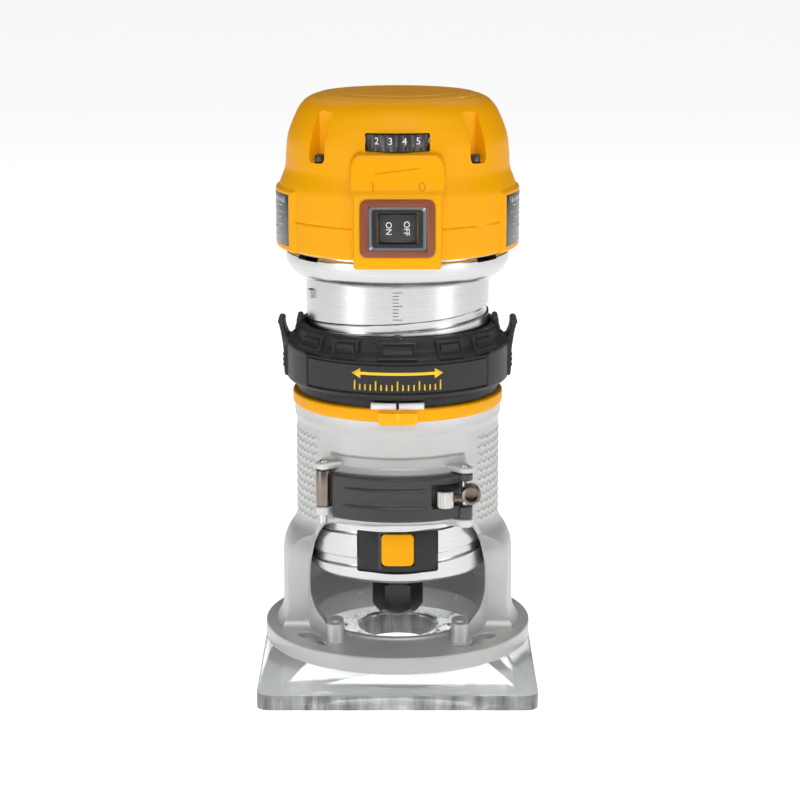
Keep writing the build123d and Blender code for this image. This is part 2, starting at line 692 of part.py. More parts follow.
def speed_dial():
    """Thumbwheel; its rim shows in the window above the switch."""
    wheel = disc(DIAL_R, DIAL_LOW, DIAL_TOP, 0, DIAL_Y)
    notch = block(DIAL_R - 0.5, DIAL_R + 1, -0.5, 0.5, DIAL_LOW, DIAL_LOW + 1.6)
    for n in range(36):
        wheel -= Pos(0, DIAL_Y, 0) * Rot(0, 0, 10 * n) * notch
    wheel -= tube(14.0, 5.0, DIAL_LOW + 2.5, DIAL_TOP + 1, 0, DIAL_Y)
    return wheel - disc(2.06, 190, 210, 0, DIAL_Y)


def speed_potentiometer():
    return disc(8.0, 190.6, 198.2, 0, DIAL_Y) + disc(2.0, 198.0, 204.0, 0, DIAL_Y)


def control_board():
    """Speed control board with its heat sink and capacitor, standing on the bridge."""
    board = block(-20, 20, -20, 22, 177.0, 178.6)
    board += block(-18, -6, 8, 20, 178.5, 188.0)
    return board + disc(6, 178.5, 190.0, 12, 12)


def cord_inlet():
    """Gland for the power cord at the rear of the cap; the cord itself is not part of the model."""
    body = bar_y(6.0, 0, INLET_Z, 38.5, 47.4) + bar_y(7.6, 0, INLET_Z, 38.5, 41.2)
    body += bar_y(7.6, 0, INLET_Z, 44.8, 46.4)
    return body - bar_y(3.6, 0, INLET_Z, 30, 60)


# ---- write every node -----------------------------------------------------------------------------
def main():
    os.makedirs("parts", exist_ok=True)
    nodes = {
        "sub_base": sub_base(),
        "sub_base_screws": sub_base_screws(),
        "base_housing": base_housing(),
        "guide_key": guide_key(),
        "clamp_strap": clamp_strap(),
        "clamp_anchor_pin": clamp_pin(ANCHOR_X, ANCHOR_Y, 59.0, 83.2),
        "clamp_pivot_pin": clamp_pin(PIVOT_X, PIVOT_Y, 59.0, 82.0),
        "clamp_lever": clamp_lever(),
        "clamp_roller": clamp_roller(),
        "clamp_nut": clamp_nut(),
        "zero_ring": zero_ring(),
        "index_pads": index_pads(),
        "depth_ring": depth_ring(),
        "tab_pins": tab_pins(),
        "tab_springs": tab_springs(),
        "release_tab_right": release_tab(1),
        "release_tab_left": release_tab(-1),
        "motor_can": motor_can(),
        "nose_plate": nose_plate(),
        "bearing_plate": bearing_plate(),
        "lower_bearing": ball_bearing(16.0, 7.5, 57.0, 66.0),
        "upper_bearing": ball_bearing(11.0, 4.0, 166.0, 173.0),
        "bearing_bridge": bearing_bridge(),
        "end_flange": end_flange(),
        "stator_core": stator_core(),
        "field_windings": field_windings(),
        "brush_holders": brush_holders(),
        "carbon_brushes": carbon_brushes(),
        "brush_springs": brush_springs(),
        "lock_plate": lock_plate(),
        "lock_guide": lock_guide(),
        "lock_spring": lock_spring(),
        "lock_button": lock_button(),
        "spindle": spindle(),
        "cooling_fan": cooling_fan(),
        "armature_core": armature_core(),
        "armature_windings": armature_windings(),
        "commutator": commutator(),
        "collet": collet(),
        "collet_nut": collet_nut(),
        "motor_cap": motor_cap(),
        "cap_screws": cap_screws(),
        "label_plates": label_plates(),
        "switch_boot": switch_boot(),
        "switch_body": switch_body(),
        "rocker_pin": rocker_pin(),
        "rocker": rocker(),
        "speed_dial": speed_dial(),
        "speed_potentiometer": speed_potentiometer(),
        "control_board": control_board(),
        "cord_inlet": cord_inlet(),
    }
    for node, part in nodes.items():
        save(part, node)


main()
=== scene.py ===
# %% [markdown]
# # A trim router, piece by piece
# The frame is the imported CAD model. Every visible piece below is either a surface worked out
# with numpy, or a CAD piece whose edges are softened, and each has a procedural finish.
# Sizes are in millimetres, and become metres when a mesh is made.

# %% Load the frame
import json
import math
import bmesh
import bpy
import numpy as np
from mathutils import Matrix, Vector


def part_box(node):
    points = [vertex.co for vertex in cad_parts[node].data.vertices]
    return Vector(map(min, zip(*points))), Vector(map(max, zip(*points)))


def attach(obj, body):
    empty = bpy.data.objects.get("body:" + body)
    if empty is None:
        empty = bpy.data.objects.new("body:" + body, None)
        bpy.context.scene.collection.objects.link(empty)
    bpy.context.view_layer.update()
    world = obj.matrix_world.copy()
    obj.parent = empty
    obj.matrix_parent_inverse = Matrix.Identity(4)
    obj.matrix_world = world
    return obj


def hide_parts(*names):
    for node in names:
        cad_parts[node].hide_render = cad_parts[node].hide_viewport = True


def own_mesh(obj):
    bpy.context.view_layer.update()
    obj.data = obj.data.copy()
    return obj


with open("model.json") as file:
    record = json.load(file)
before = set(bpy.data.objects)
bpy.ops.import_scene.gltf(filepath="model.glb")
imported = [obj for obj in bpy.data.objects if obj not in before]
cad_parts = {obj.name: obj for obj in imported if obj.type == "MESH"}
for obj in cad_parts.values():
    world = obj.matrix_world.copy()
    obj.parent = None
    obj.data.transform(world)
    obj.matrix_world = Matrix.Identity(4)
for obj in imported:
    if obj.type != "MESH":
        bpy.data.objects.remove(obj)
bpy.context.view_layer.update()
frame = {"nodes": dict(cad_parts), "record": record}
MM = 0.001


# %% [markdown]
# ## Reading sizes from the frame
# A piece goes where the CAD says, so heights and radii come from the nodes' boxes.

# %% Sizes of the main pieces
def low(node):
    """Lowest corner of a CAD node, in millimetres."""
    return np.array(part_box(node)[0]) / MM


def high(node):
    """Highest corner of a CAD node, in millimetres."""
    return np.array(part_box(node)[1]) / MM


CAN_LOW, CAN_TOP = low("motor_can")[2], high("motor_can")[2]
CAN_R = high("motor_can")[0]
FOOT_R = high("base_housing")[0]
FOOT_LOW = low("base_housing")[2]
CAP_TOP = high("motor_cap")[2]
LABEL_R = high("motor_cap")[0]
CAP_LOW = high("end_flange")[2]
RING_LOW = low("depth_ring")[2]
ZERO_LOW, ZERO_TOP = low("zero_ring")[2], low("index_pads")[2]
DIAL_LOW, DIAL_TOP = low("speed_dial")[2], high("speed_dial")[2]
FRONT = -math.pi / 2
print("can radius", round(CAN_R, 2), "cap", round(CAP_LOW, 1), "to", round(CAP_TOP, 1))


# %% [markdown]
# ## Tools for making surfaces
# A grid of points is the simplest surface: rows run along a profile and columns run round
# the axis. The corners of a profile are rounded before it is carried round.

# %% A mesh from a grid of points
def placed(name, data):
    """A new object with this data, linked to the scene."""
    thing = bpy.data.objects.new(name, data)
    bpy.context.scene.collection.objects.link(thing)
    return thing


def mesh_piece(name, points, quads, ngons=()):
    """Object from points (n, 3) in millimetres, quads (m, 4) and a few larger faces."""
    mesh = bpy.data.meshes.new(name)
    corners = np.concatenate([np.ravel(quads)] + [np.asarray(n) for n in ngons]).astype(np.int32)
    sizes = np.array([4] * len(quads) + [len(n) for n in ngons])
    mesh.vertices.add(len(points))
    mesh.vertices.foreach_set("co", (np.asarray(points) * MM).astype(np.float32).ravel())
    mesh.loops.add(len(corners))
    mesh.loops.foreach_set("vertex_index", corners)
    mesh.polygons.add(len(sizes))
    mesh.polygons.foreach_set("loop_start", (np.cumsum(sizes) - sizes).astype(np.int32))
    mesh.update(calc_edges=True)
    mesh.validate()
    return placed(name, mesh)


def grid_piece(name, points, wrap_rows=False, cap=False, skip=()):
    """Closed columns, points[row, column]: neighbours are joined by quads, first to last too."""
    rows, columns = points.shape[:2]
    index = np.arange(rows * columns).reshape(rows, columns)
    ring = np.concatenate([index, index[:, :1]], axis=1)
    if wrap_rows:
        ring = np.concatenate([ring, ring[:1]], axis=0)
    keep = [r for r in range(len(ring) - 1) if r not in skip]
    below, above = ring[:-1][keep], ring[1:][keep]
    quads = np.stack([below[:, :-1], below[:, 1:], above[:, 1:], above[:, :-1]], -1).reshape(-1, 4)
    ngons = [index[0][::-1], index[-1]] if cap else []
    return mesh_piece(name, points.reshape(-1, 3), quads, ngons)


def joined(name, pieces):
    """Several pieces as one object."""
    work = bmesh.new()
    for piece in pieces:
        work.from_mesh(piece.data)
        bpy.data.objects.remove(piece)
    mesh = bpy.data.meshes.new(name)
    work.to_mesh(mesh)
    work.free()
    return placed(name, mesh)


def rework(piece, action):
    """Open the mesh for editing, apply the action and write it back."""
    work = bmesh.new()
    work.from_mesh(piece.data)
    action(work)
    work.to_mesh(piece.data)
    work.free()
    return piece


def clean(piece, distance=1e-6):
    """Merge points that lie together, so that poles and seams close."""
    return rework(piece, lambda work: bmesh.ops.remove_doubles(work, verts=work.verts, dist=distance))


def shade(piece, angle=32):
    """Smooth shading, broken where two faces meet at more than the angle."""
    piece.data.shade_smooth()
    piece.data.set_sharp_from_angle(angle=math.radians(angle))
    return piece


# %% [markdown]
# A profile is a short list of corners. Each corner is rounded, and the profile is then carried
# round the axis, or a circle is taken as it is.

# %% Profiles with rounded corners
def rounded(corners, radius, closed=True, steps=4):
    """Each corner is cut back by its radius and bridged by a curve that leaves along both sides."""
    corners = np.asarray(corners, float)
    count = len(corners)
    radii = np.broadcast_to(np.asarray(radius, float), (count,))
    out = []
    for i, corner in enumerate(corners):
        ends = not closed and i in (0, count - 1)
        if ends or radii[i] == 0:
            out.append(corner[None])
            continue
        before, after = corners[i - 1] - corner, corners[(i + 1) % count] - corner
        reach = min(radii[i], 0.45 * np.linalg.norm(before), 0.45 * np.linalg.norm(after))
        start = corner + before / np.linalg.norm(before) * reach
        end = corner + after / np.linalg.norm(after) * reach
        s = np.linspace(0, 1, steps + 1)[:, None]
        out.append((1 - s) ** 2 * start + 2 * s * (1 - s) * corner + s ** 2 * end)
    return np.concatenate(out)


def around(radius, height, angles):
    """Points at (radius, height) for each angle; radius and height may be grids."""
    return np.stack([radius * np.cos(angles), radius * np.sin(angles), height + 0 * angles], -1)


def circle(radius, count, x=0.0, y=0.0):
    """Outline of a circle: the centre plus radius times (cos a, sin a)."""
    a = np.linspace(0, 2 * math.pi, count, endpoint=False)
    return np.stack([x + radius * np.cos(a), y + radius * np.sin(a)], 1)


def turned(name, profile, radius=0.5, steps=160):
    """A closed (radius, height) outline, corners rounded, carried round the axis."""
    outline = rounded(profile, radius)
    angles = np.linspace(0, 2 * math.pi, steps, endpoint=False)[None]
    points = around(outline[:, :1], outline[:, 1:], angles)
    return shade(clean(grid_piece(name, points, wrap_rows=True)))


# %% [markdown]
# ## Cutting and softening
# Openings are cut with a boolean whose cutter flares at the mouth, so that the edge it leaves
# is a small chamfer, as a moulding or a casting has. CAD pieces are copied, merged and
# bevelled, because a perfectly sharp edge never catches the light.

# %% Boolean cuts
def settle(piece):
    """Replace the mesh by what its modifiers make of it."""
    bpy.context.view_layer.update()
    ready = piece.evaluated_get(bpy.context.evaluated_depsgraph_get())
    mesh = bpy.data.meshes.new_from_object(ready)
    piece.modifiers.clear()
    piece.data = mesh
    return piece


def carve(piece, *tools, operation="DIFFERENCE"):
    """Cut the tools away from the piece, or join them to it."""
    for tool in tools:
        step = piece.modifiers.new("carve", "BOOLEAN")
        step.object = tool
        step.operation = operation
        step.solver = "EXACT"
        settle(piece)
        bpy.data.objects.remove(tool)
    return piece


def outline_box(half_wide, half_high, corner, steps=5):
    """Rounded rectangle about the origin, counter-clockwise."""
    w, h = half_wide, half_high
    return rounded([(-w, -h), (w, -h), (w, h), (-w, h)], corner, steps=steps)


def outward(outline):
    """Unit normals: each is square to the line between the point's two neighbours."""
    edge = np.roll(outline, -1, 0) - np.roll(outline, 1, 0)
    normal = np.stack([edge[:, 1], -edge[:, 0]], 1)
    return normal / np.linalg.norm(normal, axis=1, keepdims=True)


def punch(outline, depths, grows, place):
    """A cutter: the outline at each depth, grown by its amount, set in space by place(u, v, depth)."""
    normal = outward(outline)
    rings = [place(*(outline + grow * normal).T, depth) for depth, grow in zip(depths, grows)]
    return grid_piece("cutter", np.array(rings), cap=True)


def block(outline, start, end, soft, place):
    """A punch between two depths, its end edges cut back by a small amount."""
    return punch(outline, [start, start + soft, end - soft, end], [-soft, 0, 0, -soft], place)


def upright(u, v, depth):
    """Lays an outline level; depth is the height."""
    return np.stack([u, v, 0 * u + depth], -1)


def to_front(x, z):
    """Places an outline facing the operator; depth is the distance from the axis."""
    return lambda u, v, depth: np.stack([x + u, 0 * u - depth, z + v], -1)


def to_side(side):
    """Places an outline in (y, height), facing right (1) or left (-1); depth is along X."""
    return lambda u, v, depth: np.stack([0 * u + side * depth, side * u, v], -1)


def section(side):
    """Places an outline in (distance from the axis, height) on the right or left; depth is along Y."""
    return lambda u, v, depth: np.stack([side * u, 0 * u + side * -depth, v], -1)


def soften(name, node, width, material, slot, angle=28, segments=2):
    """A CAD piece as a finished one: merged, flat areas made whole, edges bevelled."""
    piece = placed(name, frame["nodes"][node].data.copy())

    def merge_flats(work):
        bmesh.ops.remove_doubles(work, verts=work.verts, dist=2e-6)
        bmesh.ops.dissolve_limit(work, angle_limit=math.radians(0.8), verts=work.verts, edges=work.edges)

    rework(piece, merge_flats)
    if width:
        bevel = piece.modifiers.new("edge", "BEVEL")
        bevel.width = width * MM
        bevel.segments = segments
        bevel.limit_method = "ANGLE"
        bevel.angle_limit = math.radians(angle)
        settle(piece)
    shade(piece, 30)
    return finish(piece, frame_body(node), material, slot, node)


# %% [markdown]
# Each finished piece rides on one body of the frame and stands for CAD nodes.

# %% Joining pieces to the frame
def frame_body(node):
    """The body that holds a CAD node."""
    return next(b for b, nodes in frame["record"]["behaviour"]["bodies"].items() if node in nodes)


def finish(piece, body, material, slot, *nodes):
    """Give a piece its material, its body and the CAD nodes it stands for."""
    piece.data.materials.clear()
    piece.data.materials.append(material)
    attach(piece, body)
    if nodes:
        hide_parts(*nodes)
    print(piece.name, "rides on", body, "faces", len(piece.data.polygons))
    return piece


# %% [markdown]
# ## Shared effects
# Three effects come back in many finishes: a fine grain, lighter edges for wear and a painted
# highlight, and dust settled on upward faces. Each is a node group with named sockets, built once.

# %% Node groups
def new_group(name, inputs, outputs):
    """Empty shader group with float or vector sockets and default values."""
    group = bpy.data.node_groups.new(name, "ShaderNodeTree")
    for label, kind, value in inputs:
        socket = group.interface.new_socket(label, in_out="INPUT", socket_type=kind)
        if value is not None:
            socket.default_value = value
    for label, kind in outputs:
        group.interface.new_socket(label, in_out="OUTPUT", socket_type=kind)
    return group, group.nodes.new("NodeGroupInput"), group.nodes.new("NodeGroupOutput")


def noise(tree, vector, scale, detail=3.0, rough=0.5):
    """Noise texture on a vector; the scale is a number or a socket."""
    node = tree.nodes.new("ShaderNodeTexNoise")
    tree.links.new(vector, node.inputs["Vector"])
    node.inputs["Detail"].default_value = detail
    node.inputs["Roughness"].default_value = rough
    if isinstance(scale, (int, float)):
        node.inputs["Scale"].default_value = scale
    else:
        tree.links.new(scale, node.inputs["Scale"])
    return node.outputs["Fac"]


def sums(tree, operation, a, b, third=None):
    """Math node; arguments are sockets or numbers."""
    node = tree.nodes.new("ShaderNodeMath")
    node.operation = operation
    for slot_index, value in enumerate((a, b) if third is None else (a, b, third)):
        if isinstance(value, (int, float)):
            node.inputs[slot_index].default_value = value
        else:
            tree.links.new(value, node.inputs[slot_index])
    return node.outputs[0]


def clamped(tree, value):
    """Value held between 0 and 1."""
    node = tree.nodes.new("ShaderNodeClamp")
    tree.links.new(value, node.inputs["Value"])
    return node.outputs[0]


def build_grain():
    """Fine grain: two octaves of noise for height, one broad noise for tone."""
    group, gin, gout = new_group(
        "fine_grain",
        [("Vector", "NodeSocketVector", None), ("Grain Scale", "NodeSocketFloat", 2500.0),
         ("Tone Scale", "NodeSocketFloat", 60.0)],
        [("Height", "NodeSocketFloat"), ("Tone", "NodeSocketFloat")],
    )
    fine = noise(group, gin.outputs["Vector"], gin.outputs["Grain Scale"], 2.0)
    tone = noise(group, gin.outputs["Vector"], gin.outputs["Tone Scale"], 4.0, 0.6)
    group.links.new(fine, gout.inputs["Height"])
    group.links.new(tone, gout.inputs["Tone"])
    return group


def build_wear_and_highlight():
    """Edge wear and painted edge highlight: pointed edges, broken up by noise."""
    group, gin, gout = new_group(
        "edge_wear_and_highlight",
        [("Vector", "NodeSocketVector", None), ("Reach", "NodeSocketFloat", 0.53),
         ("Breakup Scale", "NodeSocketFloat", 400.0)],
        [("Wear", "NodeSocketFloat")],
    )
    geometry = group.nodes.new("ShaderNodeNewGeometry")
    spots = noise(group, gin.outputs["Vector"], gin.outputs["Breakup Scale"], 4.0, 0.7)
    edge = sums(group, "SUBTRACT", geometry.outputs["Pointiness"], gin.outputs["Reach"])
    edge = sums(group, "MULTIPLY", edge, 12.0)
    wear_and_highlight = sums(group, "MULTIPLY", edge, spots)
    group.links.new(clamped(group, wear_and_highlight), gout.inputs["Wear"])
    return group


def build_dust():
    """Dust: faces that look up, thinned by a broad noise."""
    group, gin, gout = new_group(
        "settled_dust",
        [("Vector", "NodeSocketVector", None), ("Amount", "NodeSocketFloat", 0.2)],
        [("Dust", "NodeSocketFloat")],
    )
    geometry = group.nodes.new("ShaderNodeNewGeometry")
    split = group.nodes.new("ShaderNodeSeparateXYZ")
    group.links.new(geometry.outputs["Normal"], split.inputs[0])
    patches = noise(group, gin.outputs["Vector"], 90.0, 5.0, 0.65)
    upward = sums(group, "SUBTRACT", split.outputs["Z"], 0.35)
    dusty = sums(group, "MULTIPLY", sums(group, "MULTIPLY", upward, patches), gin.outputs["Amount"])
    group.links.new(clamped(group, dusty), gout.inputs["Dust"])
    return group


GRAIN, EDGE_WEAR_AND_HIGHLIGHT, DUST = build_grain(), build_wear_and_highlight(), build_dust()
print("groups:", GRAIN.name, EDGE_WEAR_AND_HIGHLIGHT.name, DUST.name)


# %% [markdown]
# ## Finishes
# One function lays out a finish: base colour varied by tone, lighter edges for wear and a painted
# highlight, dust, a roughness that follows the grain, and a bump. What is constant stays on the shader's own
# socket.

# %% The general finish
DUST_COLOUR = (0.62, 0.56, 0.47)


def mixed(tree, factor, a, b):
    """Colour mix; a and b are colours or sockets."""
    node = tree.nodes.new("ShaderNodeMix")
    node.data_type = "RGBA"
    tree.links.new(factor, node.inputs["Factor"])
    for key, value in ((6, a), (7, b)):
        if isinstance(value, tuple):
            node.inputs[key].default_value = (*value, 1.0)
        else:
            tree.links.new(value, node.inputs[key])
    return node.outputs[2]


def grouped(tree, group, vector, settings):
    """Outputs of a shared group fed with a vector; settings are its other inputs."""
    node = tree.nodes.new("ShaderNodeGroup")
    node.node_tree = group
    tree.links.new(vector, node.inputs["Vector"])
    for label, value in settings.items():
        node.inputs[label].default_value = value
    return node.outputs


def make_finish(name, colour, shadow, wear_and_highlight=None, metallic=0.0, rough=0.4, rough_span=0.1, grain=2500.0,
                tone=60.0, bump=0.02, stretch=(1, 1, 1), reach=0.53, dust=0.0, coat=0.0, specular=0.5):
    """Principled material with tone, wear and painted edge highlight, dust, roughness and bump from the
    shared groups.
    """
    material = bpy.data.materials.new(name)
    material.use_nodes = True
    tree = material.node_tree
    shader = tree.nodes["Principled BSDF"]
    place = tree.nodes.new("ShaderNodeTexCoord").outputs["Object"]
    mapping = tree.nodes.new("ShaderNodeMapping")
    mapping.inputs["Scale"].default_value = stretch
    tree.links.new(place, mapping.inputs["Vector"])
    grains = grouped(tree, GRAIN, mapping.outputs[0], {"Grain Scale": grain, "Tone Scale": tone})
    base = mixed(tree, grains["Tone"], shadow, colour)
    # Pointed edges take a lighter colour: partly wear, partly a painted highlight on the edges.
    if wear_and_highlight:
        base = mixed(tree, grouped(tree, EDGE_WEAR_AND_HIGHLIGHT, place, {"Reach": reach})["Wear"], base, wear_and_highlight)
    if dust:
        base = mixed(tree, grouped(tree, DUST, place, {"Amount": dust})["Dust"], base, DUST_COLOUR)
    tree.links.new(base, shader.inputs["Base Color"])
    wobble = sums(tree, "MULTIPLY_ADD", grains["Tone"], rough_span, rough - rough_span / 2)
    tree.links.new(wobble, shader.inputs["Roughness"])
    bump_node = tree.nodes.new("ShaderNodeBump")
    bump_node.inputs["Strength"].default_value = 1.0
    bump_node.inputs["Distance"].default_value = bump * MM
    tree.links.new(grains["Height"], bump_node.inputs["Height"])
    tree.links.new(bump_node.outputs[0], shader.inputs["Normal"])
    shader.inputs["Metallic"].default_value = metallic
    shader.inputs["Coat Weight"].default_value = coat
    shader.inputs["Specular IOR Level"].default_value = specular
    return material


# %% [markdown]
# ### The metals
# The casting is bead-blasted, so its grain is coarse and matt. The can and the flange are
# turned on a lathe: their grain is squeezed along Z, which draws fine rings round them.

# %% Metals
CAST = make_finish("cast_aluminium", (0.58, 0.58, 0.57), (0.47, 0.47, 0.46), wear_and_highlight=(0.86, 0.86, 0.85),
                   metallic=0.35, rough=0.42, rough_span=0.12, grain=1500.0, tone=45.0, bump=0.05, dust=0.10)
TURNED = make_finish("machined_aluminium", (0.65, 0.65, 0.65), (0.47, 0.47, 0.475), metallic=1.0, rough=0.26,
                     rough_span=0.14, grain=160.0, tone=60.0, bump=0.012, stretch=(0.6, 0.6, 26.0))
STEEL = make_finish("plated_steel", (0.62, 0.61, 0.58), (0.42, 0.41, 0.39), wear_and_highlight=(0.85, 0.85, 0.84),
                    metallic=1.0, rough=0.28, rough_span=0.12, grain=2200.0, tone=220.0, bump=0.01)
STRIP = make_finish("spring_strip", (0.24, 0.195, 0.165), (0.13, 0.10, 0.085), wear_and_highlight=(0.66, 0.60, 0.52),
                    metallic=1.0, rough=0.30, rough_span=0.14, grain=900.0, tone=160.0, bump=0.012,
                    stretch=(1, 1, 8))
BLACK_STEEL = make_finish("blackened_steel", (0.085, 0.087, 0.094), (0.045, 0.045, 0.050),
                          wear_and_highlight=(0.30, 0.30, 0.31), metallic=0.9, rough=0.36, rough_span=0.16, grain=1800.0,
                          tone=180.0, bump=0.02, reach=0.56)
COPPER = make_finish("copper_wire", (0.60, 0.25, 0.10), (0.36, 0.13, 0.05), metallic=0.9, rough=0.3,
                     grain=300.0, tone=200.0, bump=0.1, stretch=(1, 1, 6))
LAMINATED = make_finish("laminated_steel", (0.32, 0.32, 0.34), (0.18, 0.18, 0.20), metallic=0.9, rough=0.4,
                        grain=500.0, tone=90.0, bump=0.05, stretch=(0.2, 0.2, 4))
BRASS = make_finish("brass", (0.70, 0.50, 0.20), (0.50, 0.34, 0.12), metallic=1.0, rough=0.3)

# %% [markdown]
# ### The mouldings
# Yellow and black housings are spark-eroded mouldings: a fine, even grain with a soft sheen.
# The rubber boot lets light in a little, and the sole is clear polycarbonate.

# %% Plastics and rubber
YELLOW = make_finish("yellow_housing", (0.90, 0.405, 0.0005), (0.85, 0.365, 0.0005), wear_and_highlight=(0.98, 0.56, 0.06),
                     rough=0.42, rough_span=0.10, grain=2600.0, tone=35.0, bump=0.028, reach=0.57,
                     specular=0.14)
# Darker yellow for the raised marks on the cap: painted shade.
PAINTED_SHADE_YELLOW = make_finish("painted_shade_yellow", (0.74, 0.24, 0.001), (0.62, 0.19, 0.001), rough=0.5,
                            specular=0.2)
# Grey for the painted reflection on the switch bezel, and for the print bars on the labels.
REFLECTION_AND_PRINT_GREY = make_finish("reflection_and_print_grey", (0.155, 0.165, 0.170), (0.115, 0.122, 0.128), wear_and_highlight=(0.45, 0.46, 0.47),
                    rough=0.25, rough_span=0.1, grain=1800.0, tone=150.0, bump=0.01, reach=0.54)
BLACK = make_finish("black_housing", (0.021, 0.022, 0.024), (0.014, 0.015, 0.016), wear_and_highlight=(0.15, 0.15, 0.155),
                    rough=0.46, rough_span=0.12, grain=2400.0, tone=70.0, bump=0.03, dust=0.06,
                    reach=0.54, specular=0.35)
GREY = make_finish("lever_grey", (0.041, 0.044, 0.049), (0.029, 0.031, 0.034), wear_and_highlight=(0.24, 0.25, 0.26),
                   rough=0.38, rough_span=0.10, grain=2200.0, tone=80.0, bump=0.02, dust=0.04,
                   reach=0.55, specular=0.4)
WHITE = make_finish("white_marking", (0.86, 0.86, 0.83), (0.76, 0.76, 0.73), rough=0.5, grain=2000.0)
LABEL = make_finish("label_foil", (0.045, 0.045, 0.045), (0.030, 0.030, 0.030), rough=0.30, rough_span=0.08,
                    grain=1800.0, tone=120.0, bump=0.008, coat=0.2)
BOARD = make_finish("circuit_board", (0.03, 0.16, 0.06), (0.02, 0.10, 0.04), rough=0.4)
INK = make_finish("yellow_marking", (0.92, 0.60, 0.02), (0.85, 0.52, 0.01), rough=0.45, grain=2000.0)
DARK_INK = make_finish("dark_marking", (0.16, 0.16, 0.16), (0.10, 0.10, 0.10), rough=0.5, grain=2000.0)
RUBBER = make_finish("rubber_boot", (0.27, 0.072, 0.028), (0.19, 0.045, 0.018), wear_and_highlight=(0.50, 0.17, 0.08),
                     rough=0.36, rough_span=0.12, grain=1500.0, tone=130.0, bump=0.02)
rubber_shader = RUBBER.node_tree.nodes["Principled BSDF"]
rubber_shader.inputs["Subsurface Weight"].default_value = 0.25
rubber_shader.inputs["Subsurface Scale"].default_value = 0.001
print("finishes:", len(bpy.data.materials))

# %% [markdown]
# ### The clear sole
# Shadow rays pass straight through it, so that the floor under it stays light.

# %% Clear polycarbonate
CLEAR = make_finish("clear_polycarbonate", (0.97, 0.985, 0.985), (0.93, 0.955, 0.955), rough=0.06,
                    rough_span=0.06, grain=300.0, tone=60.0, bump=0.006)
clear_shader = CLEAR.node_tree.nodes["Principled BSDF"]
clear_shader.inputs["Transmission Weight"].default_value = 0.76
clear_shader.inputs["IOR"].default_value = 1.38
clear_shader.inputs["Specular IOR Level"].default_value = 0.25
clear_tree = CLEAR.node_tree
clear_mix = clear_tree.nodes.new("ShaderNodeMixShader")
light_path = clear_tree.nodes.new("ShaderNodeLightPath")
see_through = clear_tree.nodes.new("ShaderNodeBsdfTransparent")
clear_tree.links.new(light_path.outputs["Is Shadow Ray"], clear_mix.inputs[0])
clear_tree.links.new(clear_shader.outputs[0], clear_mix.inputs[1])
clear_tree.links.new(see_through.outputs[0], clear_mix.inputs[2])
clear_tree.links.new(clear_mix.outputs[0], clear_tree.nodes["Material Output"].inputs["Surface"])
print("clear material:", CLEAR.name)

# %% [markdown]
# Upright streaks on the sole's edge are painted reflection: a noise squeezed along Z darkens the
# faces that stand upright.

# %% Painted reflection streaks on the sole's edge
clear_base = clear_shader.inputs["Base Color"].links[0].from_socket
facing_up = clear_tree.nodes.new("ShaderNodeSeparateXYZ")
geometry = clear_tree.nodes.new("ShaderNodeNewGeometry")
clear_tree.links.new(geometry.outputs["Normal"], facing_up.inputs[0])
level = sums(clear_tree, "ABSOLUTE", facing_up.outputs["Z"], 0.0)
streak_place = clear_tree.nodes.new("ShaderNodeMapping")
streak_place.inputs["Scale"].default_value = (1.0, 1.0, 0.12)
object_place = clear_tree.nodes.new("ShaderNodeTexCoord")
clear_tree.links.new(object_place.outputs["Object"], streak_place.inputs["Vector"])
reflection_streaks = noise(clear_tree, streak_place.outputs[0], 170.0, 3.0, 0.7)
reflection_streaks = sums(clear_tree, "MULTIPLY_ADD", reflection_streaks, 3.4, -1.25)
upright_face = sums(clear_tree, "LESS_THAN", level, 0.5)
mask = clamped(clear_tree, sums(clear_tree, "MULTIPLY", reflection_streaks, upright_face))
# Dark painted reflection streaks on the upright faces of the clear sole.
painted_streak_colour = mixed(clear_tree, mask, clear_base, (0.20, 0.21, 0.21))
clear_tree.links.new(painted_streak_colour, clear_shader.inputs["Base Color"])
print("materials:", len(bpy.data.materials))


# %% [markdown]
# ## The casting
# The base is one aluminium casting: a round foot, two legs that open into a shell, a shoulder
# and the sleeve that clamps the motor. Its wall is a closed profile carried round the axis,
# and the window between the legs is cut with a cutter that follows both faces of the wall.

# %% Wall of the legs and the sleeve
WALL_OUT = np.array([
    (47.6, 11.9), (46.4, 13.9), (45.1, 16.2), (44.3, 19.5), (44.2, 24.0), (44.2, 41.5), (43.6, 45.5),
    (41.9, 49.4), (39.6, 52.6), (38.5, 56.0), (38.4, 60.0), (38.4, 93.6), (39.2, 95.2), (39.2, 101.3),
])
WALL_IN = np.array([(34.62, 101.3), (34.62, 53.6), (34.9, 52.2), (34.9, 24.0), (31.4, 14.5), (31.4, 11.9)])


def wall_radius(z):
    """Outer radius of the wall at a height."""
    return np.interp(z, WALL_OUT[:, 1], WALL_OUT[:, 0])


def pocket_depth(angles, z):
    """Recess above the lever: steep at its top, a lip that slopes outwards below."""
    x = 38.4 * np.sin(angles - FRONT)
    facing = np.cos(angles - FRONT) > 0
    across = np.clip((25.2 - np.abs(x)) / 0.9, 0, 1) * facing
    upper = np.clip((85.9 - z) / 1.5, 0, 1) ** 1.4
    lower = np.clip((z - 79.3) / 1.5, 0, 1)
    return 2.2 * across * upper * lower


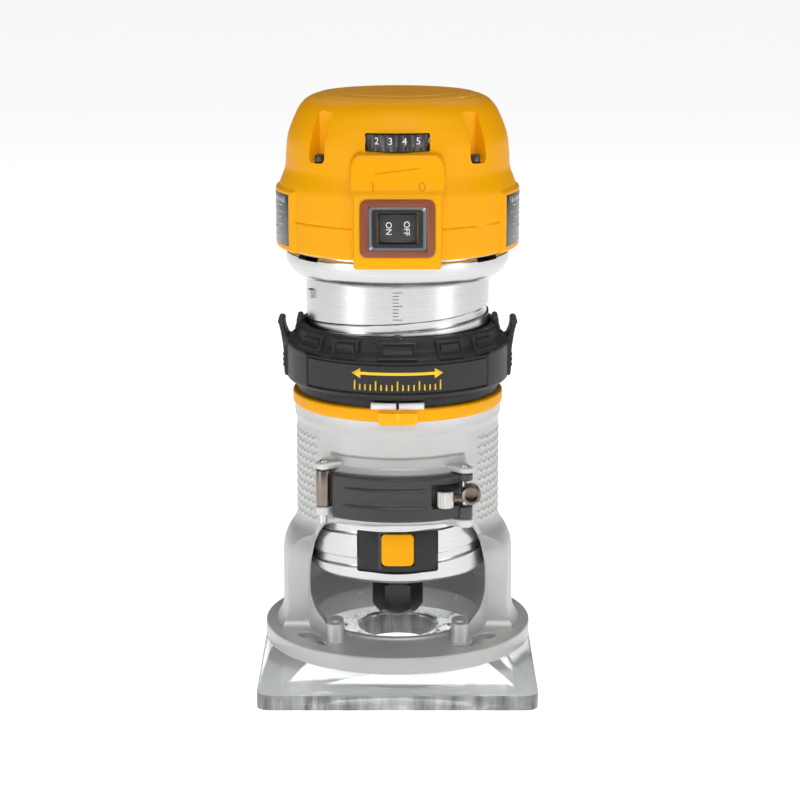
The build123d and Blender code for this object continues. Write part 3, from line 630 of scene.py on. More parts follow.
def grip_height(angles, z):
    """Rows of crescents, staggered, on the two sides of the sleeve."""
    side = np.abs(np.angle(np.exp(1j * (angles - FRONT))))
    mask = np.clip((side - 0.87) / 0.03, 0, 1) * np.clip((2.36 - side) / 0.03, 0, 1)
    mask = mask * np.clip((z - 56.8) / 0.6, 0, 1) * np.clip((91.8 - z) / 0.6, 0, 1)
    wide, tall = 3.5, 3.1
    row = np.floor((z - 57.0) / tall)
    across = side * 38.4 / wide + 0.5 * np.mod(row, 2)
    u = (across - np.floor(across) - 0.5) * wide
    v = (z - 57.0) - (row + 0.62) * tall
    rho = np.hypot(u, v * 1.15)
    crescent = np.exp(-((rho - 1.35) / 0.42) ** 2) * np.clip(0.55 - v / 1.1, 0, 1)
    return 0.36 * mask * crescent


def sleeve_wall():
    """Grid of the wall: fine rows over the grips, the rest only where the profile turns."""
    outer = rounded(WALL_OUT, 1.4, closed=False, steps=4)
    z_rows = np.unique(np.round(np.concatenate([outer[:, 1], np.arange(56.5, 92.3, 0.36)]), 3))
    r_rows = np.interp(z_rows, outer[:, 1], outer[:, 0])
    inner = rounded(WALL_IN, 0.5, closed=False, steps=3)
    fine = 0.0105
    sides = np.concatenate([np.arange(0.75 * math.pi - 143 * fine, 2.38, fine), np.arange(2.40, 3.90, 0.03),
                            np.arange(3.903, 5.435, fine), np.arange(5.46, 5.53, 0.02),
                            np.arange(5.54, 5.64, 0.009), np.arange(5.66, 6.91, 0.03),
                            np.arange(6.93, 7.03, 0.009), np.arange(7.05, 7.12, 0.02)])
    angles = (FRONT + sides)[None]
    z = z_rows[:, None]
    outside = around(r_rows[:, None] + grip_height(angles, z) - pocket_depth(angles, z), z, angles)
    inside = around(inner[:, :1], inner[:, 1:], angles)
    return clean(grid_piece("base_casting", np.concatenate([outside, inside]), wrap_rows=True))


casting = sleeve_wall()
print("wall faces", len(casting.data.polygons))


# %% [markdown]
# The window's outline is drawn flat, then each ring of the cutter is laid on a cylinder. The
# rings grow near the wall's two faces, so both edges of the opening come out rounded.

# %% Window
def window_cutter(outline, mouth):
    """Flat rings at both ends; between them rings at wall radius + depth, grown by an amount."""
    normal = outward(outline)
    rings = [np.stack([outline[:, 0], np.full(len(outline), -2.0), outline[:, 1]], -1)]
    for depth, grow in mouth:
        flat = outline + grow * normal
        radius = wall_radius(flat[:, 1]) + depth
        rings.append(np.stack([flat[:, 0], -np.sqrt(radius ** 2 - flat[:, 0] ** 2), flat[:, 1]], -1))
    flat = outline + mouth[-1][1] * normal
    rings.append(np.stack([flat[:, 0], np.full(len(flat), -60.0), flat[:, 1]], -1))
    return grid_piece("cutter", np.array(rings), cap=True)


ROUND = 2.2
MOUTH = [(ROUND * (math.sin(a) - 1), ROUND * (1 - math.cos(a))) for a in np.linspace(0, math.pi / 2, 6)]
window_half = [(24.2, 13.0), (27.2, 17.6), (31.6, 21.8), (33.3, 26.5), (33.5, 31.0), (33.3, 38.0),
               (31.6, 47.0), (29.6, 53.0), (26.6, 57.2), (21.0, 58.3)]
top_edge = [(x, 58.6 + 0.5 * (1 - (x / 21.0) ** 2)) for x in np.linspace(18, -18, 13)]
bottom_edge = [(x, 11.0) for x in np.linspace(-22, 22, 9)]
window_outline = rounded(bottom_edge + window_half + top_edge + [(-x, z) for x, z in window_half[::-1]],
                         1.6, steps=3)
carve(casting, window_cutter(window_outline, MOUTH))
print("window cut, faces", len(casting.data.polygons))


# %% [markdown]
# In front of the legs the casting is open: one cut follows the roof of the opening and its low
# rim, and a deeper one outside the rim bares the foot.

# %% Relief in front of the legs
RIM_R = 36.2


def side_cut(outline):
    """Cutter with an outline in (y, z), carried right across along X."""
    return punch(outline[::-1], [-60, 60], [0, 0], to_side(1))


roof = [(-14.0, 38.0), (-16.0, 45.0), (-21.0, 50.5), (-28.0, 54.5), (-36.0, 56.8), (-60.0, 57.5)]
rim = [(-60.0, 13.4), (-30.0, 13.4), (-21.0, 16.5), (-16.5, 20.5), (-14.5, 26.0)]
carve(casting, side_cut(rounded(rim + roof, [0, 4, 4, 4, 4, 6, 6, 6, 6, 4, 0], steps=5)))
outer_floor = [(-60.0, FOOT_LOW + 6.1), (-17.0, FOOT_LOW + 6.1), (-14.5, FOOT_LOW + 9.0)]
outer_relief = side_cut(rounded(outer_floor + roof, [0, 3, 3, 6, 6, 6, 6, 4, 0], steps=5))
carve(outer_relief, punch(circle(RIM_R, 96), [5.0, 62.0], [1.2, 0.0], upright))
carve(casting, outer_relief)
print("relief cut, faces", len(casting.data.polygons))


# %% [markdown]
# ### Foot, posts and lugs
# The foot is turned, with a thin lip round its opening. Over each of the sole's screws there is
# a kidney-shaped recess, and two stadium-shaped posts at the front take an accessory.

# %% Foot with recesses
FOOT_TOP, OPEN_R, REAR_OPEN_R, LIP = 12.6, 28.3, 31.4, 0.9
foot_profile = [(OPEN_R, FOOT_LOW), (FOOT_R, FOOT_LOW), (FOOT_R, FOOT_TOP), (31.2, FOOT_TOP),
                (30.6, FOOT_TOP + LIP), (OPEN_R, FOOT_TOP + LIP)]
foot = turned("foot", foot_profile, [0.3, 0.4, 1.0, 0.5, 0.4, 0.4], steps=240)
behind = circle(REAR_OPEN_R, 96)
behind[:, 1] = np.maximum(behind[:, 1], -10.0)
carve(foot, punch(behind, [0.0, 20.0], [0.0, 0.0], upright))
carve(casting, foot, operation="UNION")


def kidney(azimuth):
    """Recess that bends round the axis, with round ends and a chamfered mouth."""
    arc = np.radians(np.linspace(azimuth - 9, azimuth + 11, 14))
    mid, half = 41.9, 3.2
    ends = np.linspace(0, math.pi, 8)
    first = np.array([mid * math.cos(arc[0]), mid * math.sin(arc[0])])
    last = np.array([mid * math.cos(arc[-1]), mid * math.sin(arc[-1])])
    outer = np.stack([(mid + half) * np.cos(arc), (mid + half) * np.sin(arc)], 1)
    inner = np.stack([(mid - half) * np.cos(arc), (mid - half) * np.sin(arc)], 1)[::-1]

    def round_end(centre, start):
        return (centre + half * np.stack([np.cos(start + ends), np.sin(start + ends)], 1))[1:-1]

    outline = np.concatenate([outer, round_end(last, arc[-1]), inner, round_end(first, arc[0] + math.pi)])
    depths = [FOOT_TOP - 3.2, FOOT_TOP - 2.7, FOOT_TOP - 0.45, FOOT_TOP, FOOT_TOP + 3]
    return punch(outline, depths, [-0.5, 0.0, 0.0, 0.45, 0.45], upright)


for azimuth in (45, 135, 223, 313):
    carve(casting, kidney(azimuth))
print("foot joined, faces", len(casting.data.polygons))

# %% [markdown]
# A post flares at its foot and has a threaded hole. The ears hold the pins of the lever and of
# the strap: each is a round tip on a wedge that runs into the sleeve.

# %% Posts and ears
POST_X, POST_Y, POST_R, POST_HOLE_R = 23.5, -31.6, 3.1, 1.65
POST_DEPTHS = [12.0, 12.6, 13.0, 14.0, 19.2, 19.75, 20.0]
POST_GROWS = [1.6, 1.5, 0.6, 0.1, 0.0, -0.2, -0.7]


def stadium(x, y_front, y_back, r):
    """Outline of a slot: two half circles joined by straight sides."""
    front_turn = np.linspace(math.pi, 2 * math.pi, 12)
    back_turn = np.linspace(0, math.pi, 12)
    front = np.stack([x + r * np.cos(front_turn), y_front + r * np.sin(front_turn)], 1)
    back = np.stack([x + r * np.cos(back_turn), y_back + r * np.sin(back_turn)], 1)
    return np.concatenate([front, back])


for side in (-1, 1):
    shape = stadium(side * POST_X, POST_Y, POST_Y + 6.0, POST_R)
    carve(casting, punch(shape, POST_DEPTHS, POST_GROWS, upright), operation="UNION")
    hole = circle(POST_HOLE_R, 24, side * POST_X, POST_Y)
    carve(casting, punch(hole, [11.2, 19.4, 20.0, 21.0], [0, 0, 0.5, 0.5], upright))

LEVER_PIN, STRAP_PIN = (25.0, -33.5), (-27.5, -31.0)
EARS = [(LEVER_PIN, 58.3, 61.45), (LEVER_PIN, 79.05, 81.2), (STRAP_PIN, 62.4, 65.6), (STRAP_PIN, 79.9, 82.4)]
for (x, y), bottom, top in EARS:
    away = np.array([x, y]) / math.hypot(x, y)
    heading = math.atan2(y, x)
    turn = np.linspace(heading - math.pi / 2, heading + math.pi / 2, 12)
    tip = np.stack([x + 3.0 * np.cos(turn), y + 3.0 * np.sin(turn)], 1)
    root = away * 36.0
    across = np.array([-away[1], away[0]]) * 4.6
    outline = np.concatenate([tip, [root + across], [root - across]])
    carve(casting, block(outline, bottom, top, 0.4, upright), operation="UNION")
shade(clean(casting), 38)
finish(casting, "base", CAST, "cast_aluminium", "base_housing")


# %% [markdown]
# ## The motor can
# A drawn and turned tube. The depth thread is one helical groove: the surface sinks where the
# height, less the rise at that angle, falls within the groove's band.

# %% Can with its helical groove
LEAD, GROOVE_MID, GROOVE_HIGH = 12.7, 133.1, 3.4


def groove_depth(angles, z):
    """Depth of the thread groove: flat bottom, sloped flanks, one turn per lead."""
    turn = (angles - FRONT) / (2 * math.pi)
    offset = z - GROOVE_MID - LEAD * turn
    nearest = offset - LEAD * np.round(offset / LEAD)
    flank = np.clip((GROOVE_HIGH / 2 - np.abs(nearest)) / 0.35 + 0.5, 0, 1)
    middle = z - nearest
    return 0.9 * flank * (middle < GROOVE_MID + 0.29 * LEAD) * np.clip((z - CAN_LOW - 2.5) / 0.5, 0, 1)


def can_piece():
    """Skin whose rows climb with the thread, closed by nose, bore and top rings."""
    columns, climb = 180, 28
    step = LEAD / climb
    rows = int((CAN_TOP - CAN_LOW + 3.2 * LEAD) / step)
    angles = FRONT + np.linspace(0, 2 * math.pi, columns, endpoint=False)[None]
    start = GROOVE_MID - LEAD * math.ceil((GROOVE_MID - CAN_LOW + LEAD) / LEAD) + step / 2
    free = start + step * np.arange(rows)[:, None] + LEAD * (angles - FRONT) / (2 * math.pi)
    z = np.clip(free, CAN_LOW + 2.0, CAN_TOP - 0.05)
    skin = around(CAN_R - groove_depth(angles, z), z, angles)
    nose = np.array([(32.4, CAN_LOW + 0.2), (33.0, CAN_LOW), (33.6, CAN_LOW + 0.1), (34.2, CAN_LOW + 0.8),
                     (34.45, CAN_LOW + 1.4), (CAN_R, CAN_LOW + 2.0)])
    bore = np.array([(CAN_R, CAN_TOP - 0.05), (32.35, CAN_TOP - 0.05), (32.35, CAN_LOW + 0.6),
                     (32.4, CAN_LOW + 0.2)])
    index = np.arange(rows * columns).reshape(rows, columns)
    seam = np.concatenate([index[:-climb], index[climb:, :1]], axis=1)
    quads = np.stack([seam[:-1, :-1], seam[:-1, 1:], seam[1:, 1:], seam[1:, :-1]], -1).reshape(-1, 4)
    parts = [mesh_piece("skin", skin.reshape(-1, 3), quads)]
    parts += [grid_piece("rings", around(p[:, :1], p[:, 1:], angles)) for p in (nose, bore)]
    return clean(joined("turned_can", parts), 3e-6)


can = can_piece()
lock_hole = outline_box(15.2, 7.85, 0.8)
carve(can, punch(lock_hole + [0, 48.05], [24.0, 33.2, 34.6, 40.0], [0.0, 0.0, 0.5, 1.0], to_front(0, 0)))
shade(can, 25)
finish(can, "motor", TURNED, "machined_aluminium", "motor_can")


# %% [markdown]
# A small lug on the can's left rides clear above the ring, and a column of engraved lines at
# the front shows the depth. Marks are thin raised strips laid on the cylinder.

# %% Strips laid on a cylinder
def strip(name, along, lower, upper, radius, thick=0.10, sink=0.15):
    """Band on a cylinder: along is the arc length from the front, lower and upper its edges."""
    along, lower, upper = (np.asarray(a, float) for a in (along, lower, upper))
    angle = FRONT + along / radius
    rows = []
    for edge, lift in ((lower, -sink), (lower, thick), (upper, thick), (upper, -sink)):
        rows.append(around(radius + lift, edge, angle))
    return grid_piece(name, np.array(rows).transpose(1, 0, 2)[::-1], cap=True)


def tick(x, z, wide, tall, radius, thick=0.06):
    """Small rectangle on a cylinder."""
    along = [x - wide / 2, x, x + wide / 2]
    return strip("tick", along, [z - tall / 2] * 3, [z + tall / 2] * 3, radius, thick)


scale_marks = []
for n in range(9):
    wide = 3.6 if n % 4 == 0 else 2.2
    scale_marks.append(tick(0.0 - (3.6 - wide) / 2, 136.6 + 1.25 * n, wide, 0.28, CAN_R))
scale_lines = joined("can_scale", scale_marks)
finish(scale_lines, "motor", DARK_INK, "machined_aluminium")
lug_side = np.linspace(199.0, 205.0, 5) - 270.0
lug = strip("can_lug", np.radians(lug_side) * CAN_R, [141.0] * 5, [144.2] * 5, CAN_R, 1.25)
shade(clean(lug))
finish(lug, "motor", TURNED, "machined_aluminium")


# %% [markdown]
# ## The flange under the cap
# A bright bowl that widens from the can to the cap. Four slots in its rim let the air out.

# %% Flange
flange = turned("bright_flange", [
    (32.4, CAN_TOP), (35.4, CAN_TOP), (38.2, 149.2), (40.5, 151.3), (41.9, 154.2), (42.1, 157.7),
    (41.4, 158.5), (41.4, CAP_LOW), (39.2, CAP_LOW), (39.0, 155.0), (37.4, 152.6), (35.6, 151.2),
    (32.4, 151.0),
], [0.2, 0.8, 1.2, 1.2, 1.2, 0.5, 0.3, 0.2, 0.2, 1, 1, 1, 0.2], steps=240)
for azimuth in (52, 128, 218, 322):
    arc = np.radians(np.linspace(azimuth - 8, azimuth + 8, 10))
    shape = np.concatenate([np.stack([45 * np.cos(arc), 45 * np.sin(arc)], 1),
                            np.stack([36 * np.cos(arc), 36 * np.sin(arc)], 1)[::-1]])
    carve(flange, punch(shape, [157.0, 158.6], [0, 0], upright))
shade(flange, 30)
finish(flange, "motor", TURNED, "machined_aluminium", "end_flange")


# %% [markdown]
# ## The cap
# The yellow moulding is a turned dome that swells into a switch pod at the front and a label
# pad on each side. Each swelling is its own distance from the axis, and the skin follows
# whichever is larger, with a soft blend between them.

# %% Cap skin
CAP_PROFILE = rounded([
    (43.6, CAP_LOW - 0.1), (44.3, CAP_LOW + 0.5), (44.35, 170.0), (44.3, 182.6), (43.1, 185.6),
    (41.9, 188.6), (41.7, 193.0), (41.1, 200.2), (39.4, 205.2), (36.8, 210.8), (34.2, 213.9),
    (29.6, 216.0), (20.0, CAP_TOP), (0.02, CAP_TOP),
], [0.3, 0.3, 1, 1.8, 1.5, 1.5, 2, 3, 3, 3, 2.4, 3, 0, 0], closed=False, steps=5)


def blend_max(a, b, soft):
    """The larger of two distances, with a rounded corner between them."""
    gap = np.clip(0.5 + 0.5 * (a - b) / soft, 0, 1)
    return b * (1 - gap) + a * gap + soft * gap * (1 - gap)


def step_up(value, start, wide):
    """0 before start, 1 after start + wide, eased in between."""
    t = np.clip((value - start) / wide, 0, 1)
    return t * t * (3 - 2 * t)


def pod_distance(turn, z):
    """Distance of the switch pod's skin from the axis, at an angle from the front."""
    front = np.interp(z, [150, 157.5, 159.0, 160.5, 182.6, 184.0, 185.6, 187.4, 196.0, 197.6, 200.5],
                      [36, 46.4, 47.5, 48.0, 48.0, 47.4, 46.0, 45.5, 43.6, 42.9, 30.0])
    half = np.interp(z, [150, 157.5, 160.0, 182.6, 185.6, 187.4, 194.0, 196.6, 198.4, 200.0],
                     [12.0, 14.4, 15.7, 15.8, 16.6, 17.0, 16.9, 16.0, 14.0, 10.0])
    near = np.clip(np.abs(turn), 1e-4, 1.2)
    flat = front / np.cos(np.clip(turn, -1.2, 1.2))
    sides = half / np.sin(near)
    return -blend_max(-flat, -sides, 3.0)


def label_pad(turn, z):
    """How far the label pads stand out, 1 on the pad and 0 off it."""
    side = np.abs(np.abs(turn) - math.pi / 2)
    return step_up(0.575 - side, 0, 0.03) * step_up(182.6 - z, 0, 1.2)


def cap_skin(profile, inset, detail):
    """Outer or inner skin of the cap as a grid of points, from the rim to the pole."""
    turn = CAP_TURNS[None]
    r, z = profile[:, :1], profile[:, 1:]
    pod = pod_distance(turn, z) - inset
    distance = blend_max(r + 0 * turn - inset, pod, 1.4)
    distance = np.where(z < 201, distance, r - inset)
    if detail:
        distance = distance + label_pad(turn, z) * (LABEL_R - 44.35) * (np.abs(turn) > 0.8)
        seam = np.exp(-((z - 171.0) / 0.30) ** 2) * (pod < r) * (label_pad(turn, z) < 0.3)
        distance = distance - 0.50 * seam
        rim = np.exp(-((r - 30.2) / 0.45) ** 2) * (z > 212)
        inner_rim = np.exp(-((r - 22.0) / 0.4) ** 2) * (z > 212)
        z = z - 0.6 * rim - 0.5 * inner_rim
    else:
        corner = np.abs(np.abs(np.abs(turn) - math.pi / 2) - math.pi / 4)
        distance = distance - 5.0 * step_up(-corner, -0.17, 0.03) * step_up(z, 187.0, 1.5) * (r > 20)
    drop = 2.0 * step_up(pod - r, 0.4, 1.5) * step_up(-z, -161.5, 1.5)
    return np.stack([distance * np.cos(turn + FRONT), distance * np.sin(turn + FRONT), z - drop], -1)


TURN_SPANS = [(-0.50, 150), (0.50, 24), (0.95, 10), (1.05, 44), (2.10, 10), (2.20, 60), (4.08, 10),
              (4.18, 44), (5.23, 10), (5.33, 24), (2 * math.pi - 0.50, 0)]
CAP_TURNS = np.concatenate([np.linspace(start, end, count, endpoint=False)
                            for (start, count), (end, _) in zip(TURN_SPANS, TURN_SPANS[1:])])
CAP_TURNS = np.where(CAP_TURNS > math.pi, CAP_TURNS - 2 * math.pi, CAP_TURNS)


def dense(profile, gap):
    """Extra rows so that neighbouring points are at most a gap apart."""
    length = np.concatenate([[0], np.cumsum(np.linalg.norm(np.diff(profile, axis=0), axis=1))])
    count = int(length[-1] / gap)
    s = np.unique(np.concatenate([length, np.linspace(0, length[-1], count)]))
    return np.stack([np.interp(s, length, profile[:, k]) for k in (0, 1)], 1)


outer_profile = dense(CAP_PROFILE, 0.8)
seam_rows = np.array([(44.35, z) for z in (170.3, 170.6, 170.8, 171.0, 171.2, 171.4, 171.7)])
outer_profile = np.concatenate([outer_profile, seam_rows])
order = np.lexsort((-outer_profile[:, 0], np.round(outer_profile[:, 1], 2)))
outer_profile = outer_profile[order]
inner_profile = CAP_PROFILE[::2][::-1] - [0, 2.2]
inner_profile[:, 1] = np.maximum(inner_profile[:, 1], CAP_LOW + 0.2)
outer = cap_skin(outer_profile, 0.0, True)
inner = cap_skin(inner_profile, 2.4, False)
inner[..., :2] = np.where(inner_profile[:, 0, None, None] < 3, 0.0, inner[..., :2])
cap = grid_piece("yellow_cap", np.concatenate([outer, inner]), wrap_rows=True, skip=(len(outer) - 1,))
clean(cap, 2e-6)
print("cap skin faces", len(cap.data.polygons))

# %% [markdown]
# Openings in the cap: the switch, the speed window and four vent scoops that deepen downwards
# to a screw.

# %% Cap openings
SWITCH_Z = 172.2
SHELF = 46.9
carve(cap, punch(outline_box(13.4, 10.4, 3.2), [40.0, SHELF, SHELF, 47.9, 48.6], [-2.6, -2.6, 0.0, 0.0, 0.9],
                 to_front(0, SWITCH_Z)))
window_mid = (DIAL_LOW + DIAL_TOP) / 2 + 0.1
carve(cap, punch(outline_box(11.6, 3.3, 0.7), [30.0, 39.6, 42.0], [0.0, 0.0, 0.7], to_front(0, window_mid)))


def scoop(azimuth):
    """Upright slot whose back wall is a half round, opening outwards and upwards."""
    turn = math.radians(azimuth)
    shape = outline_box(3.6, 9.1, 1.6)

    def place(u, v, depth):
        return np.stack([depth * math.cos(turn) - u * math.sin(turn),
                         depth * math.sin(turn) + u * math.cos(turn), 202.7 + v], -1)

    return punch(shape, [36.0, 36.4, 40.0, 47.0], [-0.8, 0.0, 0.25, 1.2], place)


def well(azimuth):
    """Round well at the foot of a scoop, where the screw's head sits."""
    turn = math.radians(azimuth)
    shape = circle(2.7, 24, 38.8 * math.cos(turn), 38.8 * math.sin(turn))
    return punch(shape, [190.6, 196.0], [0, 0], upright)


for azimuth in (45, 135, 225, 315):
    carve(cap, scoop(azimuth), well(azimuth))
carve(cap, punch(circle(6.1, 32), [-50.0, -36.0], [0, 0], to_front(0, 168.0)))


def close_pole(work):
    """Merge the small ring of points at the pole of the cap's outer skin."""
    pole = [v for v in work.verts if v.co.xy.length < 0.05 * MM and v.co.z > (CAP_TOP - 1) * MM]
    bmesh.ops.pointmerge(work, verts=pole, merge_co=(0, 0, CAP_TOP * MM))


rework(cap, close_pole)
shade(cap, 30)
finish(cap, "motor", YELLOW, "yellow_plastic", "motor_cap")


# %% [markdown]
# ### Moulded marks on the cap
# Raised lines of the same plastic, coloured a darker yellow as painted shade: a wedge for rising speed, a
# bar for on and a ring for off.

# %% Raised marks
def wire(name, path, r, closed=False):
    """Round bar along points, with a ring of eight points at each."""
    path = np.asarray(path, float)
    ahead = np.roll(path, -1, 0) - np.roll(path, 1, 0)
    if not closed:
        ahead[0], ahead[-1] = path[1] - path[0], path[-1] - path[-2]
    ahead /= np.linalg.norm(ahead, axis=1, keepdims=True)
    side = np.cross(ahead, [0, 1, 0])
    side /= np.linalg.norm(side, axis=1, keepdims=True)
    up = np.cross(side, ahead)
    turns = np.linspace(0, 2 * math.pi, 8, endpoint=False)[None, :, None]
    points = path[:, None] + r * (np.cos(turns) * side[:, None] + np.sin(turns) * up[:, None])
    return grid_piece(name, points, wrap_rows=closed, cap=not closed)


def on_pod(x, z):
    """Point on the pod's front skin."""
    x, z = np.asarray(x, float), np.asarray(z, float)
    turn = np.arctan2(x, 46.0)
    distance = blend_max(np.interp(z, CAP_PROFILE[:, 1], CAP_PROFILE[:, 0]), pod_distance(turn, z), 1.4)
    return np.stack([distance * np.sin(turn), -distance * np.cos(turn), z], -1)


ramp_x = np.linspace(-8.2, 8.2, 12)
ramp = wire("ramp", on_pod(ramp_x, 191.2 + 0.12 * (ramp_x + 8.2)), 0.16)
bar = wire("bar", on_pod(np.full(4, -8.8), np.linspace(185.2, 188.3, 4)), 0.18)
ring_turn = np.linspace(0, 2 * math.pi, 20, endpoint=False)
oval = on_pod(8.8 + 1.0 * np.cos(ring_turn), 186.7 + 1.45 * np.sin(ring_turn))
zero_mark = wire("ring", oval, 0.18, closed=True)
# The marks' darker yellow is painted shade.
finish(shade(joined("moulded_marks", [ramp, bar, zero_mark])), "motor", PAINTED_SHADE_YELLOW, "yellow_plastic")


# %% [markdown]
# ## The depth ring
# A charcoal moulding: a raised panel at the front, a bevelled crown with cast pads, and a deep
# line round the panel. All of it is one distance from the axis.

# %% Ring skin
def plateau(turn, z, turn_low, turn_high, z_low, z_high, soft_turn=0.012, soft_z=0.45):
    """1 inside a patch of the ring and 0 outside, with soft edges."""
    across = step_up(turn, turn_low, soft_turn) * step_up(-turn, -turn_high, soft_turn)
    return across * step_up(z, z_low, soft_z) * step_up(-z, -z_high, soft_z)


RING_PADS = [(-0.18, 0.18), (-0.63, -0.36), (0.36, 0.63), (-1.08, -0.76), (0.76, 1.08),
             (2.0, 2.3), (-2.3, -2.0), (2.62, 3.0), (-3.0, -2.62)]


def sunk_line(turn, z, start, end, bottom, top, inset):
    """Line along a patch's edge: the patch, less the same patch taken in."""
    whole = plateau(turn, z, start, end, bottom, top, 0.008, 0.3)
    return whole - plateau(turn, z, start + inset, end - inset, bottom + 0.6, top - 0.6, 0.008, 0.3)


def ring_detail(turn, z):
    """Height of pads and depth of lines on the ring."""
    lift = 0.75 * plateau(turn, z, -0.94, 0.94, 109.4, 122.6)
    lift = lift - 0.6 * sunk_line(turn, z, -0.90, 0.90, 110.2, 121.9, 0.015)
    for start, end in RING_PADS:
        lift = lift + 1.5 * plateau(turn, z, start, end, 123.2, 129.4, 0.010, 0.35)
        lift = lift - 0.6 * sunk_line(turn, z, start + 0.02, end - 0.02, 124.2, 128.6, 0.018)
    return lift


ring_out = dense(rounded([(37.9, RING_LOW - 0.8), (37.9, 107.3), (39.6, 107.5), (42.1, 109.4), (42.2, 122.7),
                          (41.2, 124.2), (39.3, 125.6), (38.3, 129.6), (37.4, 130.2), (35.5, 130.2)],
                         [0.2, 0.4, 0.6, 0.8, 0.9, 1.0, 1.2, 0.6, 0.4, 0.2], closed=False), 0.34)
ring_in = np.array([(35.45, 129.9), (35.45, RING_LOW - 0.5), (35.8, RING_LOW - 0.8)])
fine_step = 2.1 / 330
fine_turns = fine_step * np.arange(-42, 288) - math.pi / 4
coarse_turns = np.linspace(fine_turns[-1] + fine_step, fine_turns[0] + 2 * math.pi, 250, endpoint=False)
ring_turns = np.concatenate([fine_turns, coarse_turns])
signed = np.where(ring_turns > math.pi, ring_turns - 2 * math.pi, ring_turns)[None]
facing = np.clip((ring_out[:, :1] - 37.0) / 1.5, 0, 1)
ring_r = ring_out[:, :1] + facing * ring_detail(signed, ring_out[:, 1:])
ring_skin = around(ring_r, ring_out[:, 1:], signed + FRONT)
ring_bore = around(ring_in[:, :1], ring_in[:, 1:], signed + FRONT)
depth_ring = clean(grid_piece("charcoal_ring", np.concatenate([ring_skin, ring_bore]), wrap_rows=True))
print("ring faces", len(depth_ring.data.polygons))


# %% [markdown]
# The tabs sit in two notches. A bracket stands in front of and behind each, and the inner arms
# lean on the motor.

# %% Notches for the tabs
def side_box(side, x0, x1, half_y, z0, z1, soft=0.3):
    """Block at the ring's left or right with softened edges."""
    middle, half = (x0 + x1) / 2 * side, (x1 - x0) / 2
    shape = outline_box(half, half_y, 0.6) + [middle, 0]
    return block(shape, z0, z1, soft, upright)


def tip_roll(x, z, r, start, end, count):
    """Points round the rolled tip of a tab or an arm, from one angle to another."""
    return [(x + r * math.cos(a), z + r * math.sin(a)) for a in np.linspace(start, end, count)]


TOOTH_Z = {1: 110.9, -1: 117.2}  # the thread's height on each side
arm = np.array([(37.2, 127.4), (38.9, 127.4), (38.1, 129.9)] + tip_roll(37.0, 131.0, 1.15, -0.4, 3.7, 12)
               + [(36.2, 129.6)])
for side in (-1, 1):
    carve(depth_ring, side_box(side, 37.2, 50.0, 6.2, 109.2, 141.0, 0.2))
    carve(depth_ring, block(arm, -6.6, 6.6, 0.3, section(side)), operation="UNION")
    carve(depth_ring, side_box(side, 33.0, 39.0, 2.8, TOOTH_Z[side] - 1.9, TOOTH_Z[side] + 1.9, 0.1))
pointer = strip("pointer", np.linspace(-1.6, 1.6, 7), [129.6] * 7, 131.6 - np.abs(np.linspace(-1.4, 1.4, 7)),
                36.6, 1.1, 0.6)
carve(depth_ring, pointer, operation="UNION")
shade(depth_ring, 34)
finish(depth_ring, "depth_ring", BLACK, "black_plastic", "depth_ring")

# %% [markdown]
# Each tab is a finger that leans outwards from its hinge and ends in a rounded roll, with a
# tooth on the inside that reaches into the can's thread.

# %% Release tabs
def finger_tab(side, node, body):
    """Section of the tab in (distance from the axis, height), carried along Y, with three ribs."""
    front = [(42.7, 109.6), (43.0, 112.0), (43.1, 119.6), (44.1, 126.4), (44.9, 129.6)]
    roll = tip_roll(43.9, 130.2, 1.35, -0.3, 3.6, 14)
    back = [(42.3, 127.2), (41.2, 124.4), (38.0, 124.4), (37.8, 109.6)]
    radii = [0.6, 1, 2, 2, 0.3] + [0] * len(roll) + [0.5, 1, 0.4, 0.6]
    half = high(node)[1]
    tab = block(rounded(np.array(front + roll + back), radii, steps=4), -half, half, 0.35, section(side))
    z = TOOTH_Z[side]
    carve(tab, side_box(side, 34.0, 38.2, 1.9, z - 1.0, z + 1.0, 0.15), operation="UNION")
    for level in (113.4, 115.4, 117.4):
        rib = outline_box(4.2, 0.42, 0.4) + [0, level]
        carve(tab, punch(rib, [42.4, 43.35, 43.5], [0, 0, -0.15], to_side(side)), operation="UNION")
    shade(clean(tab), 34)
    tab.name = "finger_" + body
    return finish(tab, body, BLACK, "black_plastic", node)


finger_tab(1, "release_tab_right", "tab_right")
finger_tab(-1, "release_tab_left", "tab_left")


# %% [markdown]
# A plain double arrow with graduations stands on the front panel, to show which way the ring
# is turned.

# %% Ring graduations
PANEL_R = 42.93
arrow_x = np.array([-17.0, -15.4, -13.8, -13.75, -9, -4.5, 0, 4.5, 9, 13.75, 13.8, 15.4, 17.0])
arrow_half = np.array([0.05, 0.95, 1.9, 0.55, 0.55, 0.55, 0.55, 0.55, 0.55, 0.55, 1.9, 0.95, 0.05])
marks = [strip("arrow", arrow_x, 118.2 - arrow_half, 118.2 + arrow_half, PANEL_R, 0.10)]
for n in range(-8, 9):
    tall = 3.6 if n % 4 == 0 else 2.2
    marks.append(tick(2.0 * n, 112.0 + tall / 2, 0.5, tall, PANEL_R, 0.10))
finish(joined("ring_graduations", marks), "depth_ring", INK, "yellow_plastic")


# %% [markdown]
# ## The zero ring
# A thin yellow ring that turns under the depth ring, with a tongue in front and two white pads
# that leave a hairline between them.

